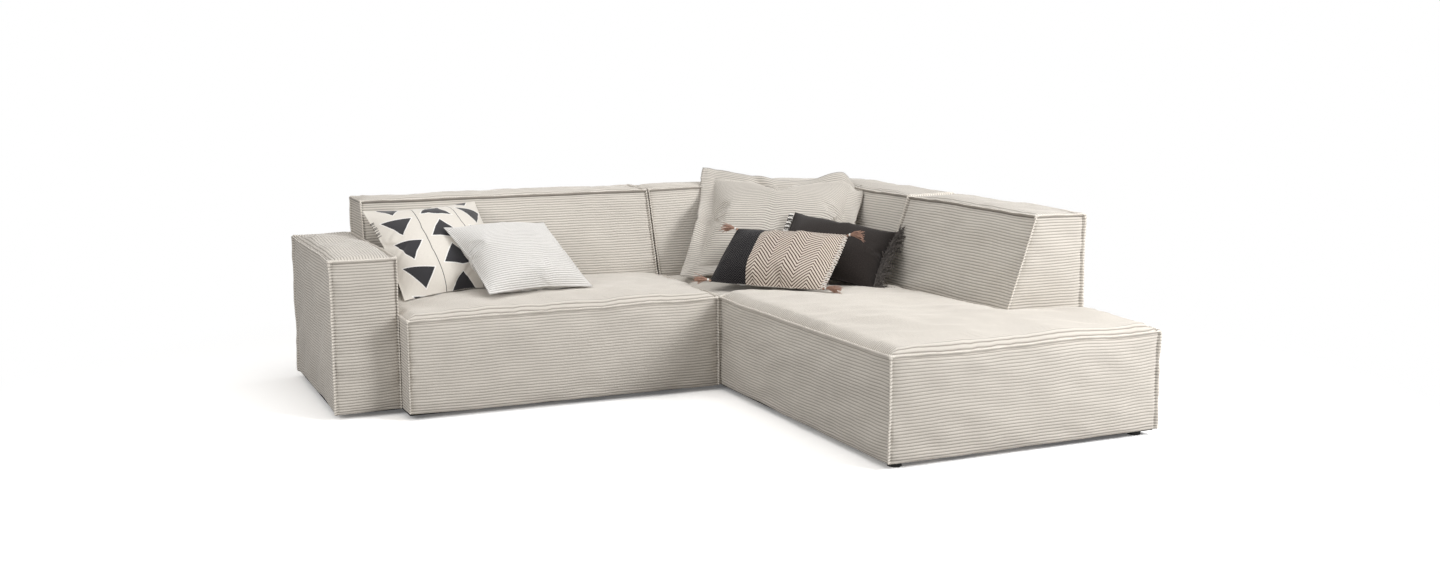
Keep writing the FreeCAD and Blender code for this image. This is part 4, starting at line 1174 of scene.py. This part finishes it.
def coil_zip(cushion, share=0.5, material="zip tape"):
    """A fine coil zip along the middle of a cushion's lower seam, with its slider's pull."""
    columns = cushion.front.shape[1]
    first, last = int(columns * (1 - share) / 2), int(columns * (1 + share) / 2)
    seam = cushion.front[0, first:last + 1]
    run = np.concatenate([[0], np.cumsum(np.linalg.norm(np.diff(seam, axis=0), axis=1))])
    along = unit(seam[-1] - seam[0])
    first_side = unit(np.cross(along, cushion.outwards((0, -1, 0))))
    second_side = np.cross(along, first_side)
    coil = []
    for distance in np.arange(0, run[-1], COIL_STEP):
        middle = np.array([np.interp(distance, run, seam[:, axis]) for axis in range(3)])
        angle = 2 * np.pi * distance / COIL_PITCH
        coil.append(middle + (first_side * np.cos(angle) + second_side * np.sin(angle)) * COIL_RADIUS)
    pull = [seam[3] + first_side * side * PULL_WIDTH + along * step * PULL_STEP
            for step, side in ((0, 1), (1, 1.5), (5, 1.5), (5, -0.5), (1, -0.5), (0, 1))]
    body = cushion.key
    make_yarns(body + "_coil", [coil], 0.0005, material, body, [body + "_zip"])
    make_yarns(body + "_pull", [pull], 0.0007, "zinc-plated steel", body)


class SOFA_OT_triangle_cushion(bpy.types.Operator):
    """Makes the cream cushion with triangles"""
    bl_idname = "sofa.triangle_cushion"
    bl_label = "Triangle cushion"

    def execute(self, context):
        cushion = Cushion("triangle_cushion", simulated=0.4, plump=1.12)
        cushion.refine(spacing=0.0065)
        cushion.set_down(["left_seat_upholstery", "left_back_upholstery", "arm_upholstery"])
        cushion.finish("cream canvas with triangles", "cream_woven")
        lines = edge_stitches(cushion, 0, 0.10, 0.19, 0.011, 3)
        make_yarns("triangle_cushion_stitches", lines, 0.0012, "dark yarn",
                   "triangle_cushion")
        coil_zip(cushion)
        return {"FINISHED"}


class SOFA_OT_white_cushion(bpy.types.Operator):
    """Makes the white corduroy cushion"""
    bl_idname = "sofa.white_cushion"
    bl_label = "White cushion"

    def execute(self, context):
        cushion = Cushion("white_cushion", plump=1.35, draw=0.010)
        cushion.refine(rib_pitch=WHITE_PITCH)
        cushion.set_down(["left_seat_upholstery", "left_back_upholstery", "triangle_cushion_form"])
        cushion.finish("white corduroy", "white_corduroy", ribs=WHITE_PITCH)
        coil_zip(cushion)
        return {"FINISHED"}


def fold_flange(cushion):
    """Waves the large cushion's rim, sinks its upper edge, folds it once and bends one corner back."""
    width, height = cushion.size[:2]
    for sheet in (cushion.front, cushion.back):
        x, z = sheet[..., 0].copy(), sheet[..., 2].copy()
        beyond = np.maximum(np.abs(cushion.cloth_x) - width / 2, np.abs(cushion.cloth_z) - height / 2)
        rim = smooth(beyond / FLANGE)
        sheet[..., 1] += 0.012 * rim * waves(np.stack([x, 0 * x, z], axis=-1), 0.22, 301)
        dip = np.exp(-((x - 0.02) / 0.15) ** 2) * smooth((z - 0.02) / 0.30)
        sheet[..., 2] -= 0.040 * dip
        fold = np.exp(-(((x + 0.06) * 0.75 + (z - 0.23) * 0.66) / 0.022) ** 2)
        fold *= smooth((z - 0.12) / 0.10) * np.exp(-((x + 0.02) / 0.13) ** 2)
        sheet[..., 1] += 0.022 * fold
        sheet[..., 1] -= 0.016 * smooth((-x - width / 2 + 0.01) / 0.05)
        tip = smooth((x - width / 2 + 0.06) / 0.11) * smooth((z - height / 2 + 0.10) / 0.16)
        sheet[..., 0] -= 0.015 * tip
        sheet[..., 1] += 0.070 * tip
        sheet[..., 2] -= 0.050 * tip


class SOFA_OT_cord_cushion(bpy.types.Operator):
    """Makes the large corduroy cushion with its wide flange"""
    bl_idname = "sofa.cord_cushion"
    bl_label = "Large flanged cushion"

    def execute(self, context):
        pitch = context.scene.cloth_sizes.wale_pitch
        cushion = Cushion("cord_cushion", fullness=0.62, simulated=0.75, slack=1.05)
        cushion.refine(rib_pitch=pitch, rim=FLANGE, half=0.0024, steps=12)
        fold_flange(cushion)
        cushion.set_down(SEATS + CORNER_BACKS, sink=0.008, clearance=0.003)
        # The large cushion wears the darker copy of the corduroy, which is painted shade.
        cushion.finish("shaded corduroy", "greige_corduroy", ribs=pitch)
        return {"FINISHED"}


def loose_fringe(cushion, random, count=480):
    """Kinked yarns that hang loose from a cushion's right end."""
    rows = len(cushion.front)
    lines = []
    for _ in range(count):
        row = random.uniform(1, rows - 2)
        start = cushion.front[int(row), -1] * (1 - row % 1) + cushion.front[int(row) + 1, -1] * (row % 1)
        aim = cushion.outwards((0.85, random.uniform(-0.9, 0.1), random.uniform(-0.5, 0.5)))
        curl = cushion.outwards(random.normal(size=3) * 0.8)
        reach = random.uniform(0.020, 0.042)
        marks = (-0.1, 0.2, 0.4, 0.6, 0.8, 1.0)
        kinks = random.normal(size=(6, 3)) * 0.0022
        lines.append([start + (aim * mark + curl * mark ** 2 * 0.5) * reach + kink * (mark > 0)
                      for mark, kink in zip(marks, kinks)])
    return [pushed_out(np.array(line), cushion.trees, 0.0012) for line in lines]


def looped_fringe(cushion, phase, count=26):
    """Loops along a cushion's left end, leaning to both sides by turns; phase shifts the row of loops."""
    rows = len(cushion.front)
    loops = []
    for step in range(count):
        row = 2 + (rows - 5) * (step + phase) / count
        start = cushion.front[int(row), 0]
        side = -1 if step % 2 else 1
        loop = []
        for mark in np.linspace(0, 1, 9):
            angle = 2 * np.pi * mark
            local = (-0.003 - 0.0095 * (1 - np.cos(angle)), -0.004 - 0.005 * np.cos(angle * 0.5) * side,
                     0.0075 * np.sin(angle) + side * 0.004 * mark)
            loop.append(start + cushion.outwards(local))
        loops.append(pushed_out(np.array(loop), cushion.trees, 0.002))
    return loops


class SOFA_OT_charcoal_cushion(bpy.types.Operator):
    """Makes the charcoal cushion with fringed ends"""
    bl_idname = "sofa.charcoal_cushion"
    bl_label = "Charcoal cushion"

    def execute(self, context):
        cushion = Cushion("charcoal_cushion", plump=1.25)
        cushion.refine(spacing=0.0065)
        cushion.set_down(SEATS + CORNER_BACKS + ["cord_cushion_form"], sink=0.004)
        cushion.finish("charcoal wool", "charcoal_woven")
        coil_zip(cushion, material="dark yarn")
        lines = loose_fringe(cushion, np.random.default_rng(61))
        make_yarns("charcoal_fringe_right", lines, 0.0015, "fringe yarn",
                   "charcoal_cushion", ["charcoal_cushion_fringe"])
        for tone, phase in (("dark", 0.0), ("white", 0.5)):
            make_yarns("charcoal_fringe_" + tone, looped_fringe(cushion, phase), 0.0019, tone + " yarn",
                       "charcoal_cushion")
        return {"FINISHED"}


def tassel(cushion, side, end, random, count=46):
    """The strands of a tassel at one corner of a cushion, and the yarn wound round their neck."""
    row, column = [0 if part < 0 else -1 for part in (end, side)]
    start = cushion.front[row, column] - cushion.outwards((side, 0, end)) * 0.004
    aim = unit(cushion.outwards((side, -0.30, 0.15)))
    first = unit(np.cross(aim, (0, 0, 1)))
    second = np.cross(aim, first)
    strands = []
    for _ in range(count):
        angle = random.uniform(0, 2 * np.pi)
        spread = np.sqrt(random.uniform(0.05, 1))
        offset = (first * np.cos(angle) + second * np.sin(angle)) * spread
        reach = random.uniform(0.060, 0.080)
        bend = random.normal(size=3) * 0.008
        line = []
        for mark in np.linspace(0, 1, 8):
            neck = 0.0038 + 0.0080 * smooth((mark - 0.22) / 0.5)
            sag = np.array([0, 0, -0.020]) * mark ** 2
            line.append(start + aim * reach * mark + offset * neck + sag + bend * mark ** 2)
        strands.append(pushed_out(np.array(line), cushion.trees, 0.0015))
    binding = []
    for mark in np.linspace(0, 1, 41):
        angle = 2 * np.pi * 5 * mark
        around = first * np.cos(angle) + second * np.sin(angle)
        binding.append(start + aim * (0.010 + 0.007 * mark) + around * 0.0048)
    return strands, binding


class SOFA_OT_lumbar_cushion(bpy.types.Operator):
    """Makes the herringbone cushion with its tassels and stitched edge"""
    bl_idname = "sofa.lumbar_cushion"
    bl_label = "Lumbar cushion"

    def execute(self, context):
        cushion = Cushion("lumbar_cushion", simulated=0.35, plump=1.2, draw=-0.010)
        cushion.refine(spacing=0.0062)
        cushion.set_down(SEATS + ["cord_cushion_form", "charcoal_cushion_form"], sink=0.014)
        cushion.finish("herringbone wool", "herringbone_woven")
        coil_zip(cushion)
        height = cushion.size[1]
        lines = edge_stitches(cushion, -1, -height / 2 + 0.012, height / 2 - 0.01, 0.0105, 3)
        make_yarns("lumbar_cushion_stitches", lines, 0.0016, "white yarn",
                   "lumbar_cushion")
        random = np.random.default_rng(71)
        tassels = [tassel(cushion, side, end, random) for side in (-1, 1) for end in (-1, 1)]
        strands = [strand for loose, _ in tassels for strand in loose]
        make_yarns("lumbar_tassel_strands", strands, 0.0011, "brown yarn",
                   "lumbar_cushion", ["lumbar_cushion_tassels"])
        make_yarns("lumbar_tassel_bindings", [binding for _, binding in tassels], 0.0011, "white yarn",
                   "lumbar_cushion")
        return {"FINISHED"}


# Half the floor's width, and where its lit middle fades to plain white, in metres
FLOOR_REACH = 30.0
FADE_START, FADE_END = 1.7, 3.0

# Position, target, size and power of each lamp
LAMPS = {
    "key": ((2.7, -3.6, 2.5), (0.6, 0.0, 0.4), 1.8, 165.0),
    "overhead": ((0.0, 0.2, 4.2), (0.0, 0.2, 0.0), 3.6, 72.0),
    "fill": ((-3.4, -1.2, 1.8), (-1.0, 0.4, 0.3), 1.6, 32.0),
}


def seen_directly(tree, path):
    """One for rays from the camera, off gloss or through glass, which meet plain white, and else nothing."""
    beyond = calculate(tree, "MAXIMUM", path.outputs["Is Glossy Ray"], path.outputs["Is Transmission Ray"])
    return calculate(tree, "MAXIMUM", path.outputs["Is Camera Ray"], beyond)


def blend(tree, share, first, second, output):
    """Shows the second of two shaders by a share that another node gives."""
    mix = add_node(tree, "ShaderNodeMixShader", {"Fac": share, 1: first, 2: second})
    tree.links.new(mix.outputs["Shader"], output.inputs["Surface"])


def floor_material():
    """Pale and shaded round the sofa, plain white farther out."""
    material, tree = new_material("pale floor", {"Roughness": 0.9, "Specular IOR Level": 0.0})
    path = add_node(tree, "ShaderNodeLightPath")
    tone = mixed(tree, path.outputs["Is Camera Ray"], (0.42, 0.41, 0.40), (1.47, 1.47, 1.47))
    shader = tree.nodes["Principled BSDF"]
    tree.links.new(tone, shader.inputs["Base Color"])
    glow = add_node(tree, "ShaderNodeEmission", {"Color": (1, 1, 1, 1), "Strength": 1.0})
    spot = add_node(tree, "ShaderNodeTexCoord").outputs["Object"]
    away = add_node(tree, "ShaderNodeVectorMath", {0: spot}, operation="LENGTH").outputs["Value"]
    ends = {"From Min": FADE_START, "From Max": FADE_END, "To Min": 0.10, "To Max": 1.0, "Value": away}
    fade = add_node(tree, "ShaderNodeMapRange", ends, interpolation_type="SMOOTHSTEP")
    share = calculate(tree, "MULTIPLY", seen_directly(tree, path), fade.outputs["Result"])
    blend(tree, share, shader.outputs["BSDF"], glow.outputs["Emission"], tree.nodes["Material Output"])
    return material


def studio_world():
    """Soft warm light all round, seen as plain white."""
    world = bpy.data.worlds.new("studio")
    world.use_nodes = True
    tree = world.node_tree
    tree.nodes.clear()
    soft = add_node(tree, "ShaderNodeBackground", {"Color": (1.0, 0.975, 0.94, 1), "Strength": 0.40})
    white = add_node(tree, "ShaderNodeBackground", {"Color": (1, 1, 1, 1), "Strength": 1.0})
    share = seen_directly(tree, add_node(tree, "ShaderNodeLightPath"))
    blend(tree, share, soft.outputs["Background"], white.outputs["Background"],
          add_node(tree, "ShaderNodeOutputWorld"))
    return world


def make_lamp(name, position, target, size, power):
    data = bpy.data.lights.new(name, "AREA")
    data.size = size
    data.energy = power
    aim = (Vector(target) - Vector(position)).to_track_quat("-Z", "Y")
    make_object(name, data).matrix_world = Matrix.Translation(position) @ aim.to_matrix().to_4x4()


def make_camera(view):
    """The camera at its place, turned by its heading, tilt and roll."""
    yaw, pitch, roll = view.turn
    forward = Vector((-sin(yaw) * cos(pitch), cos(yaw) * cos(pitch), -sin(pitch)))
    right = Vector((cos(yaw), sin(yaw), 0))
    up = right.cross(forward)
    across = right * cos(roll) + up * sin(roll)
    rise = up * cos(roll) - right * sin(roll)
    data = bpy.data.cameras.new("camera")
    data.sensor_fit = "HORIZONTAL"
    data.sensor_width = SENSOR_WIDTH
    data.lens = FOCAL_PIXELS / PHOTO_WIDTH * SENSOR_WIDTH
    data.clip_end = 100
    camera = make_object("camera", data)
    turned = Matrix((across, rise, -forward)).transposed().to_4x4()
    camera.matrix_world = Matrix.Translation(view.position) @ turned
    return camera


class SOFA_OT_stage(bpy.types.Operator):
    """Adds the floor, the soft light and the camera"""
    bl_idname = "sofa.stage"
    bl_label = "Stage"

    def execute(self, context):
        scene = context.scene
        scene.view_settings.view_transform = "Standard"
        reach = FLOOR_REACH
        mesh = bpy.data.meshes.new("floor")
        mesh.from_pydata([(-reach, -reach, 0), (reach, -reach, 0), (reach, reach, 0), (-reach, reach, 0)], [],
                         [(0, 1, 2, 3)])
        mesh.materials.append(floor_material())
        make_object("floor", mesh)
        scene.world = studio_world()
        for name, values in LAMPS.items():
            make_lamp(name, *values)
        scene.camera = make_camera(scene.sofa_camera)
        return {"FINISHED"}


class SOFA_PT_panel(bpy.types.Panel):
    """Lists the pieces in the order in which they are made"""
    bl_idname = "SOFA_PT_panel"
    bl_label = "Corner sofa"
    bl_space_type = "VIEW_3D"
    bl_region_type = "UI"
    bl_category = "Sofa"

    def draw(self, context):
        for step in STEPS:
            self.layout.operator(step.bl_idname)


def cushion_group(name, size, middle, degrees):
    """The sizes, place and turn of one loose cushion."""
    fields = {
        "size": FloatVectorProperty(name="Size", description="Width, height and thickness", default=size,
                                    size=3, unit="LENGTH", subtype="XYZ_LENGTH"),
        "middle": place("Middle", middle, "Where its middle lies"),
        "turn": turn("Turn", degrees, "Facing, lean backwards and roll"),
    }
    return type(name, (bpy.types.PropertyGroup,), {"__annotations__": fields})


GROUPS = {
    "sofa_sizes": SofaSizes,
    "cloth_sizes": ClothSizes,
    "sofa_colours": SofaColours,
    "sofa_camera": CameraPlace,
    "triangle_cushion": cushion_group("TriangleCushion", (0.495, 0.540, 0.140), (-0.818, 0.706, 0.5938),
                                      (-5, 54, 3)),
    "white_cushion": cushion_group("WhiteCushion", (0.470, 0.455, 0.125), (-0.540, 0.530, 0.5652),
                                   (-15, 60, -3)),
    "cord_cushion": cushion_group("CordCushion", (0.650, 0.600, 0.175), (0.690, 0.605, 0.6414), (34, 54, 0)),
    "charcoal_cushion": cushion_group("CharcoalCushion", (0.460, 0.388, 0.115), (0.762, 0.205, 0.5573),
                                      (28, 57, -17)),
    "lumbar_cushion": cushion_group("LumbarCushion", (0.520, 0.335, 0.115), (0.490, 0.180, 0.5495),
                                    (51, 54, 0)),
}
STEPS = (SOFA_OT_materials, SOFA_OT_arm, SOFA_OT_seats, SOFA_OT_backs, SOFA_OT_cushion_cloths,
         SOFA_OT_triangle_cushion, SOFA_OT_white_cushion, SOFA_OT_cord_cushion, SOFA_OT_charcoal_cushion,
         SOFA_OT_lumbar_cushion, SOFA_OT_stage)


def register():
    for group in GROUPS.values():
        bpy.utils.register_class(group)
    for step in STEPS + (SOFA_PT_panel,):
        bpy.utils.register_class(step)
    for name, group in GROUPS.items():
        setattr(bpy.types.Scene, name, PointerProperty(type=group))


def unregister():
    for name in GROUPS:
        delattr(bpy.types.Scene, name)
    for step in (SOFA_PT_panel,) + STEPS[::-1]:
        bpy.utils.unregister_class(step)
    for group in GROUPS.values():
        bpy.utils.unregister_class(group)


def main():
    register()
    for step in STEPS:
        area, name = step.bl_idname.split(".")
        getattr(getattr(bpy.ops, area), name)()


if __name__ == "__main__":
    main()
